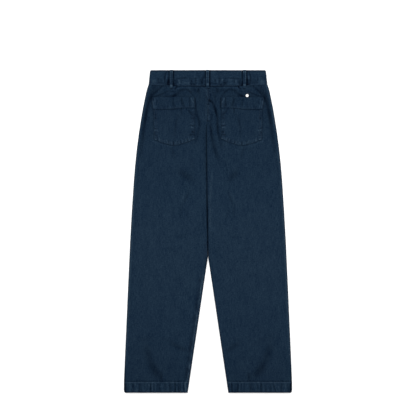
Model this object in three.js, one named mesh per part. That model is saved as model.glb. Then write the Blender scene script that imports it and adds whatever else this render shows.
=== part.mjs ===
import * as THREE from 'three';

// Denim trousers lying flat on a surface, back side up. Millimetres, +Z up, +Y towards the waist.
// "down" is the distance from the waist edge towards the hem, "across" the distance from the centre line.
// side is -1 for the wearer's left, which lies at -X, and +1 for the right.

// Driving sizes
const garmentLength = 1051;
const loopRise = 0.8;
const seamGap = 0.3;
const legsPartDown = 602;
const legSlope = 0.1485;
const hemHeight = 31.5;
const hemTop = garmentLength - hemHeight;
const panelWall = 1.5;
const frontWall = 1.5;
const bandWall = 2;
const bandHeightMiddle = 53;
const bandHeightSide = 46.5;
const pocketWall = 1.2;
const pocketHemWall = 2.2;
const loopWidth = 10.4;
const loopWall = 1.5;
const loopEnd = 59;

// Heights of the layers above the surface
const frontLift = 2.2;
const liftEnd = 115;
const backFoot = frontWall + seamGap;
const bandFrontMiddle = frontLift + bandWall / 2;
const bandBackMiddle = bandFrontMiddle + bandWall + seamGap;
const lapStep = bandWall + seamGap;

// Half width of the garment by section
const outline = [
  { down: 0, half: 186 },
  { down: 2, half: 187.6 },
  { down: 7, half: 188.8 },
  { down: 20, half: 189.9 },
  { down: 46, half: 192.6 },
  { down: 59, half: 197.1 },
  { down: 72, half: 200.6 },
  { down: 98, half: 206.1 },
  { down: 124, half: 211.3 },
  { down: 150, half: 215.8 },
  { down: 202, half: 224.1 },
  { down: 254, half: 230.9 },
  { down: 307, half: 236.5 },
  { down: 359, half: 240.9 },
  { down: 463, half: 247.7 },
  { down: 567, half: 253.4 },
  { down: 724, half: 260.5 },
  { down: 932, half: 269.7 },
  { down: 1011, half: 273 },
  { down: 1040, half: 273.4 },
  { down: 1047, half: 272.4 },
  { down: 1051, half: 269.5 },
];

// Sideways drift of the seat seam, and of the line where the legs press together
const seatSeam = [
  { down: 0, drift: -1 },
  { down: 60, drift: -1.5 },
  { down: 96, drift: 3 },
  { down: 112, drift: 0 },
  { down: 165, drift: -2 },
  { down: 185, drift: -4.9 },
  { down: 270, drift: -4.6 },
  { down: 420, drift: -3.2 },
  { down: 602, drift: 0 },
];

// How far the back panel arches over the front one, by section
const arch = [
  { down: 47, height: 1.4 },
  { down: 90, height: 3 },
  { down: 200, height: 3.6 },
  { down: 420, height: 3.5 },
  { down: 800, height: 3.2 },
  { down: 1019, height: 2.6 },
  { down: 1051, height: 2.6 },
];

// How deep the seat sinks between the legs, from 0 above the crease to 1 below it
const creaseDepth = [
  { down: 150, share: 0 },
  { down: 210, share: 0.75 },
  { down: 330, share: 0.9 },
  { down: 602, share: 1 },
];

// Outline of a back patch pocket: its inner and outer side by section
const pocketSides = [
  { down: 88, inner: 44.2, outer: 183 },
  { down: 121, inner: 42.4, outer: 180.5 },
  { down: 130, inner: 43.6, outer: 176.5 },
  { down: 245, inner: 44.2, outer: 174.4 },
];

// Lower edge of the pocket's turned top hem, and lower edge of the pocket, by distance from the centre line
const pocketHemEdge = [
  { across: 42, down: 121.5 },
  { across: 181, down: 126.5 },
];
const pocketBottom = [
  { across: 42, down: 218 },
  { across: 50, down: 220.5 },
  { across: 113, down: 244 },
  { across: 122, down: 243 },
  { across: 168, down: 228.5 },
  { across: 176, down: 225.5 },
];
const pocketTop = 88;

// Folds on both halves: a bowed line from start to end through bend, its half width, and its height
const pairedFolds = [
  { from: [103, 60], bend: [147, 74], to: [181, 92], width: 6, height: -2.2 },
  { from: [72, 58], bend: [112, 67], to: [165, 91], width: 7, height: 1.6 },
  { from: [163, 54], bend: [197, 90], to: [209, 162], width: 5.5, height: -2.4 },
  { from: [209, 152], bend: [215, 207], to: [220, 268], width: 5.5, height: -1.6 },
  { from: [142, 84], bend: [109, 80], to: [85, 65], width: 5, height: -1.3 },
  { from: [71, 58], bend: [59, 72], to: [47, 88], width: 5, height: -1.6 },
  { from: [62, 56], bend: [50, 70], to: [38, 90], width: 5, height: 1.2 },
  { from: [35, 58], bend: [22, 72], to: [26, 93], width: 5, height: -1.5 },
  { from: [91, 322], bend: [72, 344], to: [50, 366], width: 14, height: -2 },
  { from: [42, 250], bend: [49, 305], to: [51, 351], width: 10, height: -1.3 },
  { from: [117, 250], bend: [110, 276], to: [114, 308], width: 10, height: -1.2 },
  { from: [57, 378], bend: [75, 416], to: [86, 464], width: 14, height: -2 },
  { from: [82, 436], bend: [88, 465], to: [73, 500], width: 12, height: -1.5 },
  { from: [60, 548], bend: [76, 544], to: [94, 546], width: 10, height: -1 },
  { from: [106, 584], bend: [124, 580], to: [142, 583], width: 10, height: -0.9 },
  { from: [204, 886], bend: [191, 957], to: [160, 1016], width: 13, height: -1.8 },
  { from: [148, 878], bend: [117, 900], to: [97, 916], width: 11, height: -1.2 },
];

// Folds round the seat seam, which differ from side to side
const centreFolds = [
  { from: [2, 96], bend: [22, 119], to: [31, 164], width: 5, height: -3 },
  { from: [31, 154], bend: [34, 198], to: [47, 256], width: 6, height: -2.4 },
  { from: [17, 90], bend: [37, 118], to: [43, 175], width: 8, height: 2.4 },
  { from: [42, 160], bend: [48, 205], to: [60, 250], width: 8, height: 1.6 },
  { from: [6, 168], bend: [15, 217], to: [35, 290], width: 8, height: -2.2 },
  { from: [17, 165], bend: [25, 205], to: [36, 262], width: 6, height: 1.6 },
  { from: [4, 140], bend: [19, 158], to: [4, 177], width: 4.5, height: -1.4 },
  { from: [-2, 92], bend: [0, 126], to: [-1, 178], width: 4.5, height: 0.9 },
  { from: [-38, 87], bend: [-39, 136], to: [-25, 178], width: 5, height: -1.7 },
  { from: [-27, 172], bend: [-37, 204], to: [-44, 245], width: 6, height: -1.5 },
  { from: [-26, 88], bend: [-24, 130], to: [-14, 176], width: 7, height: 1.5 },
  { from: [13, 60], bend: [23, 77], to: [21, 98], width: 5, height: -1.6 },
];

// Creases that run down the waistband
const bandCreases = [
  { from: [131, 0], bend: [146, 28], to: [134, 50], width: 4, height: -0.9 },
  { from: [137, 0], bend: [153, 28], to: [141, 50], width: 4, height: 0.8 },
  { from: [-131, 0], bend: [-146, 28], to: [-134, 50], width: 4, height: -0.9 },
  { from: [-138, 0], bend: [-153, 28], to: [-141, 50], width: 4, height: 0.8 },
  { from: [68, 8], bend: [62, 28], to: [70, 50], width: 5, height: -0.6 },
  { from: [-69, 2], bend: [-60, 26], to: [-68, 52], width: 5, height: -0.7 },
  { from: [-28, 6], bend: [-36, 28], to: [-30, 52], width: 5, height: -0.6 },
  { from: [32, 2], bend: [24, 26], to: [30, 50], width: 5, height: -0.6 },
];

// Back belt loops, front belt loops and buttons, by distance from the centre line
const backLoops = [
  { name: 'belt_loop_back_left', across: -119.6 },
  { name: 'belt_loop_back_center', across: -0.6 },
  { name: 'belt_loop_back_right', across: 119.3 },
];
const frontLoops = [
  { name: 'belt_loop_front_left', across: -104 },
  { name: 'belt_loop_front_right', across: 104 },
];
const backButton = { across: 127.8, down: 82.3, radius: 5, height: 2 };
const waistButton = { across: -1, down: 24, radius: 8.5, height: 1.9 };

// Ends of the waistband at centre front: the upper end lies under the lower one's button
const underLapEnd = 20;
const overLapEnd = -20;
const lapSlopeEnd = 42;

const denim = { color: 0x1b2c3d, roughness: 0.92, metalness: 0 };
const denimDark = { color: 0x182a3a, roughness: 0.92, metalness: 0 };
const whiteShell = { color: 0xf4f4f2, roughness: 0.35, metalness: 0 };
const darkShell = { color: 0x232a33, roughness: 0.4, metalness: 0 };

const mix = (a, b, t) => a + (b - a) * t;
const clamp = (value, low, high) => Math.min(high, Math.max(low, value));

function smooth(low, high, value) {
  const t = clamp((value - low) / (high - low), 0, 1);
  return t * t * (3 - 2 * t);
}

// Reads one column of a table, straight between its rows
function lookUp(table, key, column, value) {
  if (value <= table[0][key]) return table[0][column];
  for (let row = 1; row < table.length; row++) {
    const above = table[row - 1];
    const below = table[row];
    if (value <= below[key]) {
      return mix(above[column], below[column], (value - above[key]) / (below[key] - above[key]));
    }
  }
  return table[table.length - 1][column];
}

const halfWidth = (down) => lookUp(outline, 'down', 'half', down);
const byAcross = (table, x) => lookUp(table, 'across', 'down', Math.abs(x));
const bandBottom = (x) => mix(bandHeightMiddle, bandHeightSide, smooth(85, 160, Math.abs(x)));
const lift = (down) => frontLift * (1 - smooth(52, liftEnd, down));
const place = (x, down, z) => [x, (garmentLength + loopRise) / 2 - loopRise - down, z];

// Inner edge of one leg, half the seam gap away from the other
function innerEdge(side, down) {
  const parting = Math.max(0, legSlope * (down - legsPartDown));
  return lookUp(seatSeam, 'down', 'drift', down) + side * (seamGap / 2 + parting);
}

// A fold is sampled along its bow once, then felt from any point as a soft trough or ridge
const foldSteps = 12;
function prepareFold(fold, side) {
  const points = [];
  for (let step = 0; step <= foldSteps; step++) {
    const t = step / foldSteps;
    const bowed = (axis) =>
      (1 - t) * (1 - t) * fold.from[axis] + 2 * t * (1 - t) * fold.bend[axis] + t * t * fold.to[axis];
    points.push([side * bowed(0), bowed(1), t]);
  }
  return { points, width: fold.width, height: fold.height };
}

function foldHeight(fold, x, down) {
  let nearest = Infinity;
  let along = 0;
  for (let step = 0; step < foldSteps; step++) {
    const [ax, ad, at] = fold.points[step];
    const [bx, bd, bt] = fold.points[step + 1];
    const lengthSquared = (bx - ax) ** 2 + (bd - ad) ** 2;
    const t = clamp(((x - ax) * (bx - ax) + (down - ad) * (bd - ad)) / lengthSquared, 0, 1);
    const distance = Math.hypot(x - mix(ax, bx, t), down - mix(ad, bd, t));
    if (distance < nearest) {
      nearest = distance;
      along = mix(at, bt, t);
    }
  }
  const fade = Math.sqrt(Math.sin(Math.PI * clamp(along, 0.04, 0.96)));
  return fold.height * fade * Math.exp(-((nearest / fold.width) ** 2));
}

const panelFolds = [
  ...pairedFolds.map((fold) => prepareFold(fold, -1)),
  ...pairedFolds.map((fold) => prepareFold(fold, 1)),
  ...centreFolds.map((fold) => prepareFold(fold, 1)),
];
const preparedCreases = bandCreases.map((fold) => prepareFold(fold, 1));
const sumFolds = (folds, x, down) => folds.reduce((sum, fold) => sum + foldHeight(fold, x, down), 0);

// A quarter-round rise from an edge to full height at the given reach
function roundRise(distance, reach) {
  const t = 1 - clamp(distance / reach, 0, 1);
  return Math.sqrt(1 - t * t);
}

// Uneven upright puckers along a hem
const hemFold = 1.1;
const puckersPerLeg = 14;
const puckerHeight = 0.8;
function hemPucker(across, width, phase) {
  const t = across / width;
  const uneven = t + 0.012 * Math.sin(9 * t + phase) + 0.009 * Math.sin(23 * t + 2 * phase);
  const strength = 0.75 + 0.25 * Math.sin(11 * t + 3 * phase);
  return puckerHeight * strength * Math.cos(2 * Math.PI * puckersPerLeg * uneven);
}

// Height of a back panel's outer face
const sideRound = 9;
const legRound = 9;
const sideSeamRidge = 0.5;
function panelTop(side, x, down) {
  const fromSide = halfWidth(down) - Math.abs(x);
  const fromInner = Math.abs(x - innerEdge(side, down));
  const sinks = lookUp(creaseDepth, 'down', 'share', down);
  const rise = roundRise(fromSide, sideRound) * (1 - sinks * (1 - roundRise(fromInner, legRound)));
  const floor = lift(down) + backFoot + panelWall;
  const ridge = sideSeamRidge * Math.exp(-(((fromSide - 6) / 3) ** 2)) * smooth(80, 160, down);
  const folds = sumFolds(panelFolds, x, down) * smooth(2, 9, fromSide);
  const hemShare = smooth(hemTop - 1, hemTop + 3, down) * roundRise(garmentLength - down, 3);
  const width = halfWidth(down) - Math.abs(innerEdge(side, down));
  const pucker = hemPucker(fromInner, width, side) * smooth(hemTop - 22, hemTop + 4, down);
  const edgeFade = smooth(0, 6, Math.min(fromSide, fromInner));
  const hem = (hemFold * hemShare + pucker * roundRise(garmentLength - down + 1, 6)) * edgeFade;
  const arched = floor + lookUp(arch, 'down', 'height', down) * rise;
  return Math.max(floor, arched + ridge + folds + hem);
}

// Height of the waistband's middle layer at the back, arched over its lapped ends
function bandMiddle(x, down) {
  const overLap = lapStep * (1 - smooth(38, 70, Math.abs(x)));
  const crown = 0.6 * roundRise(halfWidth(down) - Math.abs(x), 30);
  return bandBackMiddle + overLap + crown + sumFolds(preparedCreases, x, down);
}

// A closed body from an outer and an inner grid of points. Both grids have the same rows, and a row
// may hold more or fewer points than the one before it. Corners turn left seen from outside.
function closedShell(outer, inner) {
  const positions = [];
  const index = [];
  const store = (rows) => rows.map((row) => row.map((point) => positions.push(...point) / 3 - 1));
  const outerIds = store(outer);
  const innerIds = store(inner);
  const add = (a, b, c, turned) => (turned ? index.push(a, c, b) : index.push(a, b, c));
  const zip = (upper, lower, turned) => {
    let i = 0;
    let j = 0;
    while (i < upper.length - 1 || j < lower.length - 1) {
      const upperNext = (i + 1) / (upper.length - 1);
      const lowerNext = (j + 1) / (lower.length - 1);
      if (j >= lower.length - 1 || (i < upper.length - 1 && upperNext <= lowerNext)) {
        add(upper[i], lower[j], upper[i + 1], turned);
        i += 1;
      } else {
        add(upper[i], lower[j], lower[j + 1], turned);
        j += 1;
      }
    }
  };
  for (let row = 0; row < outerIds.length - 1; row++) {
    zip(outerIds[row], outerIds[row + 1], false);
    zip(innerIds[row], innerIds[row + 1], true);
  }
  const last = outerIds.length - 1;
  zip(innerIds[0], outerIds[0], false);
  zip(outerIds[last], innerIds[last], false);
  zip(outerIds.map((row) => row[0]), innerIds.map((row) => row[0]), false);
  zip(innerIds.map((row) => row[row.length - 1]), outerIds.map((row) => row[row.length - 1]), false);
  const geometry = new THREE.BufferGeometry();
  geometry.setAttribute('position', new THREE.Float32BufferAttribute(positions, 3));
  geometry.setIndex(index);
  return geometry;
}

// Turns a body inside out where its grid runs the other way
function flipFaces(geometry) {
  const index = geometry.getIndex();
  for (let corner = 0; corner < index.count; corner += 3) {
    const second = index.getX(corner + 1);
    index.setX(corner + 1, index.getX(corner + 2));
    index.setX(corner + 2, second);
  }
  return geometry;
}

const trousers = new THREE.Group();
trousers.name = 'denim_trousers';
function addPiece(name, geometry, look) {
  geometry.computeVertexNormals();
  const mesh = new THREE.Mesh(geometry, new THREE.MeshStandardMaterial(look));
  mesh.name = name;
  trousers.add(mesh);
}

// Sections of a back panel, from the waistband to the hem: where each ends, its steps and its columns
const panelSections = [
  { name: 'yoke', end: () => pocketTop, steps: 4, columns: 'seat' },
  { name: 'pocket hem', end: (x) => byAcross(pocketHemEdge, x), steps: 4, columns: 'seat' },
  { name: 'hem step', end: (x) => byAcross(pocketHemEdge, x) + 2.5, steps: 1, columns: 'seat' },
  { name: 'pocket body', end: (x) => byAcross(pocketBottom, x), steps: 8, columns: 'seat' },
  { name: 'below pocket', end: () => 305, steps: 4, columns: 'seat' },
  { name: 'thigh', end: () => 600, steps: 11, columns: 'thigh' },
  { name: 'calf', end: () => hemTop - 21, steps: 8, columns: 'calf' },
  { name: 'hem pull', end: () => hemTop, steps: 2, columns: 'hem' },
  { name: 'hem fold', end: () => hemTop + 4, steps: 1, columns: 'hem' },
  { name: 'hem', end: () => garmentLength - 3, steps: 1, columns: 'hem' },
  { name: 'hem edge', end: () => garmentLength, steps: 1, columns: 'hem' },
];
const columnCounts = { thigh: 15, calf: 12, hem: 42 };
const nearSeam = [0, 3, 8, 15];
const beforePocket = [24, 34];
const pocketColumns = 10;
const pastPocket = [0.3, 0.6, 0.84, 1];

// Distances of the seat's columns from the centre, with one column along each side of the pocket
function seatColumns(side, down) {
  const seam = innerEdge(side, down);
  const pocketIn = side * lookUp(pocketSides, 'down', 'inner', down);
  const pocketOut = side * lookUp(pocketSides, 'down', 'outer', down);
  const columns = nearSeam.map((offset) => seam + side * offset);
  beforePocket.forEach((across) => columns.push(side * across));
  for (let step = 0; step <= pocketColumns; step++) {
    columns.push(mix(pocketIn, pocketOut, step / pocketColumns));
  }
  pastPocket.forEach((share) => columns.push(mix(pocketOut, side * halfWidth(down), share)));
  return columns;
}

// Columns of a leg, closer together at its two rounded edges
function legColumns(side, down, count) {
  const columns = [];
  for (let step = 0; step <= count; step++) {
    const even = step / count;
    const crowded = 0.5 - 0.5 * Math.cos(Math.PI * even);
    const share = count === columnCounts.hem ? mix(even, crowded, 0.12) : mix(even, crowded, 0.75);
    columns.push(mix(innerEdge(side, down), side * halfWidth(down), share));
  }
  return columns;
}

// Rows of points over a back panel's outer face, and the row and column numbers that the pocket uses
const panelStart = (x) => bandBottom(x) + seamGap;
function panelRows(side) {
  const rows = [];
  const marks = {};
  let start = panelStart;
  panelSections.forEach((section, number) => {
    marks[section.name] = rows.length === 0 ? 0 : rows.length - 1;
    for (let step = number === 0 ? 0 : 1; step <= section.steps; step++) {
      const share = step / section.steps;
      const rowStart = start;
      const downAt = (x) => mix(rowStart(x), section.end(x), share);
      const middleDown = downAt(side * 110);
      const layout =
        section.columns === 'seat'
          ? seatColumns(side, middleDown)
          : legColumns(side, middleDown, columnCounts[section.columns]);
      rows.push(
        layout.map((roughX, column) => {
          const down = downAt(roughX);
          let x = roughX;
          if (column === 0) x = innerEdge(side, down);
          if (column === layout.length - 1) x = side * halfWidth(down);
          return { x, down, z: panelTop(side, x, down) };
        })
      );
    }
    start = section.end;
  });
  return { rows, marks };
}

const facing = (side, geometry) => (side < 0 ? flipFaces(geometry) : geometry);

function backPanel(side, rows) {
  const outer = rows.map((row) => row.map((point) => place(point.x, point.down, point.z)));
  const inner = rows.map((row) => row.map((point) => place(point.x, point.down, point.z - panelWall)));
  return facing(side, closedShell(outer, inner));
}

// A back pocket lies on the panel's own points, moved out; its top hem is thicker
function backPocket(side, rows, marks) {
  const firstColumn = nearSeam.length + beforePocket.length;
  const lastRow = marks['below pocket'];
  const outer = [];
  const inner = [];
  for (let row = marks['pocket hem']; row <= lastRow; row++) {
    const points = rows[row].slice(firstColumn, firstColumn + pocketColumns + 1);
    const isHem = row <= marks['hem step'];
    inner.push(points.map((point) => place(point.x, point.down, point.z + seamGap)));
    outer.push(
      points.map((point, column) => {
        const isEdge = column === 0 || column === pocketColumns || row === lastRow;
        const wall = isHem ? pocketHemWall : pocketWall;
        return place(point.x, point.down, point.z + seamGap + wall * (isEdge && !isHem ? 0.75 : 1));
      })
    );
  }
  return facing(side, closedShell(outer, inner));
}

// Front panel: flat on the surface, rising only to meet the waistband
const frontRows = [47.3, 58, 72, 88, 102, 116, 200, 320, 460, 603, 724, 932, 1011, 1040, 1047, 1051];
const frontColumns = 5;
function frontPanel(side) {
  const rows = frontRows.map((down) => {
    const row = [];
    for (let step = 0; step <= frontColumns; step++) {
      row.push([mix(innerEdge(side, down), side * halfWidth(down), step / frontColumns), down]);
    }
    return row;
  });
  const outer = rows.map((row) => row.map(([x, down]) => place(x, down, lift(down) + frontWall)));
  const inner = rows.map((row) => row.map(([x, down]) => place(x, down, lift(down))));
  return facing(side, closedShell(outer, inner));
}

// Waistband: one flat strip that runs from its upper end at centre front round both sides to its lower end
const turnSteps = 5;
const turnRadius = (bandBackMiddle - bandFrontMiddle) / 2;
const frontRun = [-lapSlopeEnd, -70, -110, -150];
const backRunSteps = 40;

function bandStations(share) {
  const down = share * bandBottom(halfWidth(0));
  const turnX = halfWidth(down) - bandWall / 2 - turnRadius;
  const stations = [];
  const add = (x, z, nx, nz) => stations.push({ x, z, nx, nz });
  [underLapEnd, 0, overLapEnd - 2].forEach((x) => add(x, bandFrontMiddle + lapStep, 0, -1));
  frontRun.forEach((x) => add(x, bandFrontMiddle, 0, -1));
  for (let step = 0; step <= turnSteps; step++) {
    const angle = (Math.PI * step) / turnSteps;
    const reach = [Math.sin(angle), Math.cos(angle)];
    add(-turnX - turnRadius * reach[0], bandFrontMiddle + turnRadius * (1 - reach[1]), -reach[0], -reach[1]);
  }
  for (let step = 1; step < backRunSteps; step++) {
    const x = mix(-turnX, turnX, step / backRunSteps);
    add(x, bandMiddle(x, share * bandBottom(x)), 0, 1);
  }
  for (let step = 0; step <= turnSteps; step++) {
    const angle = (Math.PI * step) / turnSteps;
    const reach = [Math.sin(angle), Math.cos(angle)];
    add(turnX + turnRadius * reach[0], bandBackMiddle - turnRadius * (1 - reach[1]), reach[0], reach[1]);
  }
  [...frontRun.map((x) => -x).reverse(), overLapEnd].forEach((x) => add(x, bandFrontMiddle, 0, -1));
  return stations;
}

const bandRows = [
  { share: 0, wall: 0.7 },
  { share: 0.035, wall: 1 },
  { share: 0.35, wall: 1 },
  { share: 0.7, wall: 1 },
  { share: 0.965, wall: 1 },
  { share: 1, wall: 0.75 },
];
function waistband() {
  const outer = [];
  const inner = [];
  bandRows.forEach(({ share, wall }) => {
    const stations = bandStations(share);
    const moved = (station, amount) => {
      const down = share * (station.nz > 0.5 ? bandBottom(station.x) : bandBottom(halfWidth(0)));
      return place(station.x + station.nx * amount, down, station.z + station.nz * amount);
    };
    outer.push(stations.map((station) => moved(station, (bandWall / 2) * wall)));
    inner.push(stations.map((station) => moved(station, (-bandWall / 2) * wall)));
  });
  return closedShell(outer, inner);
}

// Highest point of the cloth that a back belt loop crosses
function loopSeat(across, down) {
  let highest = 0;
  for (const offset of [-loopWidth / 2, -loopWidth / 4, 0, loopWidth / 4, loopWidth / 2]) {
    const x = across + offset;
    const overBand = down < bandBottom(x) + 1;
    const height = overBand ? bandMiddle(x, down) + bandWall / 2 : panelTop(Math.sign(x) || 1, x, down);
    highest = Math.max(highest, height);
  }
  return highest;
}

// Belt loop: a folded strip with raised sides that lies over the band and a little of the panel below
const loopRows = (edge) => [-loopRise, 1.5, 14, 28, 42, edge - 2, edge + 0.8, edge + 3, loopEnd];
const loopProfile = [
  { offset: -0.5, height: 0.55 },
  { offset: -0.36, height: 1 },
  { offset: 0, height: 0.72 },
  { offset: 0.36, height: 1 },
  { offset: 0.5, height: 0.55 },
];
function backLoop(across) {
  const outer = [];
  const inner = [];
  loopRows(bandBottom(across)).forEach((down) => {
    const base = loopSeat(across, Math.max(0, down)) + seamGap + 0.15;
    inner.push(loopProfile.map(({ offset }) => place(across + offset * loopWidth, down, base)));
    outer.push(
      loopProfile.map(({ offset, height }) =>
        place(across + offset * loopWidth, down, base + loopWall * height)
      )
    );
  });
  return closedShell(outer, inner);
}

function frontLoop(across) {
  const height = frontLift - seamGap;
  const shape = new THREE.Shape();
  const half = loopWidth / 2;
  shape.moveTo(-half, 0);
  shape.lineTo(half, 0);
  shape.lineTo(half, height * 0.6);
  shape.lineTo(half - 1.2, height);
  shape.lineTo(-half + 1.2, height);
  shape.lineTo(-half, height * 0.6);
  shape.closePath();
  const geometry = new THREE.ExtrudeGeometry(shape, { depth: 50, bevelEnabled: false });
  geometry.rotateX(Math.PI / 2);
  geometry.translate(...place(across, 1, 0));
  return geometry;
}

// A round button: a turned profile with a raised rim and a dished middle
function button(details, z, sides) {
  const { radius, height } = details;
  const profile = [
    new THREE.Vector2(0, 0),
    new THREE.Vector2(radius * 0.86, 0),
    new THREE.Vector2(radius, height * 0.35),
    new THREE.Vector2(radius, height * 0.7),
    new THREE.Vector2(radius * 0.86, height),
    new THREE.Vector2(radius * 0.62, height * 0.8),
    new THREE.Vector2(0, height * 0.76),
  ];
  const geometry = new THREE.LatheGeometry(profile, sides);
  geometry.rotateX(Math.PI / 2);
  geometry.translate(...place(details.across, details.down, z));
  return geometry;
}

for (const [side, word] of [[-1, 'left'], [1, 'right']]) {
  const { rows, marks } = panelRows(side);
  addPiece(`back_${word}`, backPanel(side, rows), denim);
  addPiece(`front_${word}`, frontPanel(side), denimDark);
  addPiece(`back_pocket_${word}`, backPocket(side, rows, marks), denimDark);
}
addPiece('waistband', waistband(), denim);
backLoops.forEach((loop) => addPiece(loop.name, backLoop(loop.across), denim));
frontLoops.forEach((loop) => addPiece(loop.name, frontLoop(loop.across), denim));

const buttonSeat = Math.max(
  ...[0, 1, 2, 3, 4, 5].map((step) => {
    const angle = (Math.PI * step) / 3;
    const x = backButton.across + backButton.radius * Math.cos(angle);
    return panelTop(1, x, backButton.down + backButton.radius * Math.sin(angle));
  })
);
addPiece('back_button', button(backButton, buttonSeat + seamGap, 24), whiteShell);
addPiece('waist_button', button(waistButton, 0, 28), darkShell);

export default trousers;
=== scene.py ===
import math

import bpy
import numpy as np
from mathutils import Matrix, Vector


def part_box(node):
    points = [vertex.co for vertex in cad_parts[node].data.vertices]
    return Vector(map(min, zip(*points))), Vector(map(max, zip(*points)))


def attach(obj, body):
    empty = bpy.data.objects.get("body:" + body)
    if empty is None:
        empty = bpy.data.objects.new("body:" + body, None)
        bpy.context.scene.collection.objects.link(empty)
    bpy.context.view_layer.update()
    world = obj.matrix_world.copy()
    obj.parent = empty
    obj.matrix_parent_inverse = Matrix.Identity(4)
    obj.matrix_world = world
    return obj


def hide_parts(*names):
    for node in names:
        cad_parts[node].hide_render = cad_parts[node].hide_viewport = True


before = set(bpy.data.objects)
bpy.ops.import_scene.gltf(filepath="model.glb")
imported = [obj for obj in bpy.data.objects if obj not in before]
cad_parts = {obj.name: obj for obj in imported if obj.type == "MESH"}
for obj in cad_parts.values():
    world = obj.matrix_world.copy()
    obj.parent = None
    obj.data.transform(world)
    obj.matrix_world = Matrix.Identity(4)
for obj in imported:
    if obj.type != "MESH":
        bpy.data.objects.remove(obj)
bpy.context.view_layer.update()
print("frame loaded:", len(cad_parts), "nodes")

# Trousers lying flat, back side up. The tables are in millimetres: x is the distance from the centre line,
# down the distance from the waist edge towards the hem, z the height above the floor. side is -1 at -X.
mm = 0.001

garment = {
    "length": 1051,
    "loopRise": 0.8,      # how far the back loops stand up past the waist edge
    "seamGap": 0.3,       # air between two layers
    "legsPart": 602,      # where the daylight between the legs starts
    "legSlope": 0.1485,   # how fast each inner leg edge leaves the centre line
    "hemHeight": 31.5,
    "frontLift": 2.2,     # the waist stands on the front loops and button
    "liftEnd": 115,       # from here down it lies on the floor
    "bulge": 0.7,         # how far the soft edges roll out past the outline
}
wall = {"panel": 1.5, "front": 1.5, "band": 2.0, "pocket": 1.2, "pocketHem": 2.2, "loop": 1.5}
hemTop = garment["length"] - garment["hemHeight"]
backFoot = wall["front"] + garment["seamGap"]
bandFrontMiddle = garment["frontLift"] + wall["band"] / 2
bandBackMiddle = bandFrontMiddle + wall["band"] + garment["seamGap"]
lapStep = wall["band"] + garment["seamGap"]
sides = {-1: "Left", 1: "Right"}

# down, half width of the garment
outline = np.array([
    (0, 186), (2, 187.6), (7, 188.8), (20, 189.9), (46, 192.6), (59, 197.1), (72, 200.6), (98, 206.1),
    (124, 211.3), (150, 215.8), (202, 224.1), (254, 230.9), (307, 236.5), (359, 240.9), (463, 247.7),
    (567, 253.4), (724, 260.5), (932, 269.7), (1011, 273), (1040, 273.4), (1047, 272.4), (1051, 269.5),
])
# down, sideways drift of the seat seam and of the line where the legs press together
seatSeam = np.array([
    (0, -1), (60, -1.5), (96, 3), (112, 0), (165, -2), (185, -4.9), (270, -4.6), (420, -3.2), (602, 0),
])

# The drift is softened, so that the seam has no corners
seamSteps = np.arange(0, 1061, 3.0)
blur = np.hanning(11)[1:-1] / np.hanning(11).sum()
drift = np.pad(np.interp(seamSteps, seatSeam[:, 0], seatSeam[:, 1]), len(blur) // 2, mode="edge")
seatSeam = np.stack([seamSteps, np.convolve(drift, blur, mode="valid")], axis=1)

# down, how far the back panel arches over the front one
arch = np.array([(47, 1.4), (90, 3), (200, 3.6), (420, 3.5), (800, 3.2), (1019, 2.6), (1051, 2.6)])
# down, how deep the cloth sinks between the legs
creaseDepth = np.array([(150, 0), (210, 0.75), (330, 0.9), (602, 1)])
# down, distance of a pocket's inner and outer side from the centre line
pocketInner = np.array([(88, 44.2), (121, 42.4), (130, 43.6), (245, 44.2)])
pocketOuter = np.array([(88, 183), (121, 180.5), (130, 176.5), (245, 174.4)])
# distance from the centre line, lower edge of the pocket's turned hem, and lower edge of the pocket
pocketHemEdge = np.array([(42, 121.5), (80, 122.9), (98, 124.1), (112, 126.3), (150, 127.1), (181, 127.2)])
pocketBottom = np.array([
    (42, 223.5), (50, 227), (60, 231.5), (73, 236.2), (83, 239), (93, 242.2), (113, 245.8), (122, 244.5),
    (130, 241.8), (142, 239), (150, 236.8), (160, 232.6), (168, 229.3), (176, 226.5),
])
pocketTop = 88

# Broad tone along the garment, darker at the waist and the seat and towards the hems: down, tone (0 plain
# cloth, 1 very pale, -1 very dark)
broadTone = np.array([
    (0, -0.15), (30, -0.25), (70, -0.42), (136, -0.33), (200, -0.24), (260, -0.12), (330, -0.07), (400, 0),
    (470, 0.03), (540, 0.04), (640, 0.05), (720, 0.03), (800, 0.01), (860, -0.02), (920, -0.09), (985, -0.19),
    (1051, -0.18),
])

# Folds: start x, down, bow x, down, end x, down, half width, height, tone (painted shade in a trough, painted
# highlight on a ridge).
# The paired ones lie on both halves, and their x is the distance from this axis.
pairAxis = -1
pairedFolds = [
    (117, 63, 148, 78, 182, 91, 3.2, -1.3, -0.75),
    (56, 55, 108, 57, 170, 85, 5, 1.6, 0.22),
    (148, 53, 164, 64, 181, 86, 4, -1.4, -0.75),
    (165, 38, 181, 76, 193, 110, 9, -1.8, -0.55),
    (185, 82, 197, 116, 203, 172, 5.5, -2.2, -0.68),
    (199, 120, 206, 165, 212, 232, 6.5, -2.0, -0.7),
    (210, 200, 215, 245, 219, 290, 6.5, -1.2, -0.4),
    (90, 72, 100, 79, 114, 84, 5.5, -1.5, -0.1),
    (106, 87, 125, 85, 147, 88, 3, -0.8, -0.4),
    (76, 61, 62, 62, 48, 84, 3, -1.4, -0.7),
    (63, 57, 52, 68, 40, 88, 5, 1.0, 0.06),
    (34, 57, 26, 66, 25, 112, 4, -1.2, -0.36),
    (66, 123, 57, 143, 43, 151, 3.5, -1.3, -0.68),
    (113, 89, 113, 104, 112, 122, 2.8, -0.9, -0.5),
    (86, 89, 84, 104, 79, 121, 4, -1.0, -0.85),
    (85, 119, 87, 130, 86, 144, 2.5, -0.8, -0.7),
    (92, 146, 108, 164, 107, 230, 4, -1.2, -0.42),
    (121, 249, 113, 262, 108, 292, 4.5, -1.2, -0.36),
]
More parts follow.
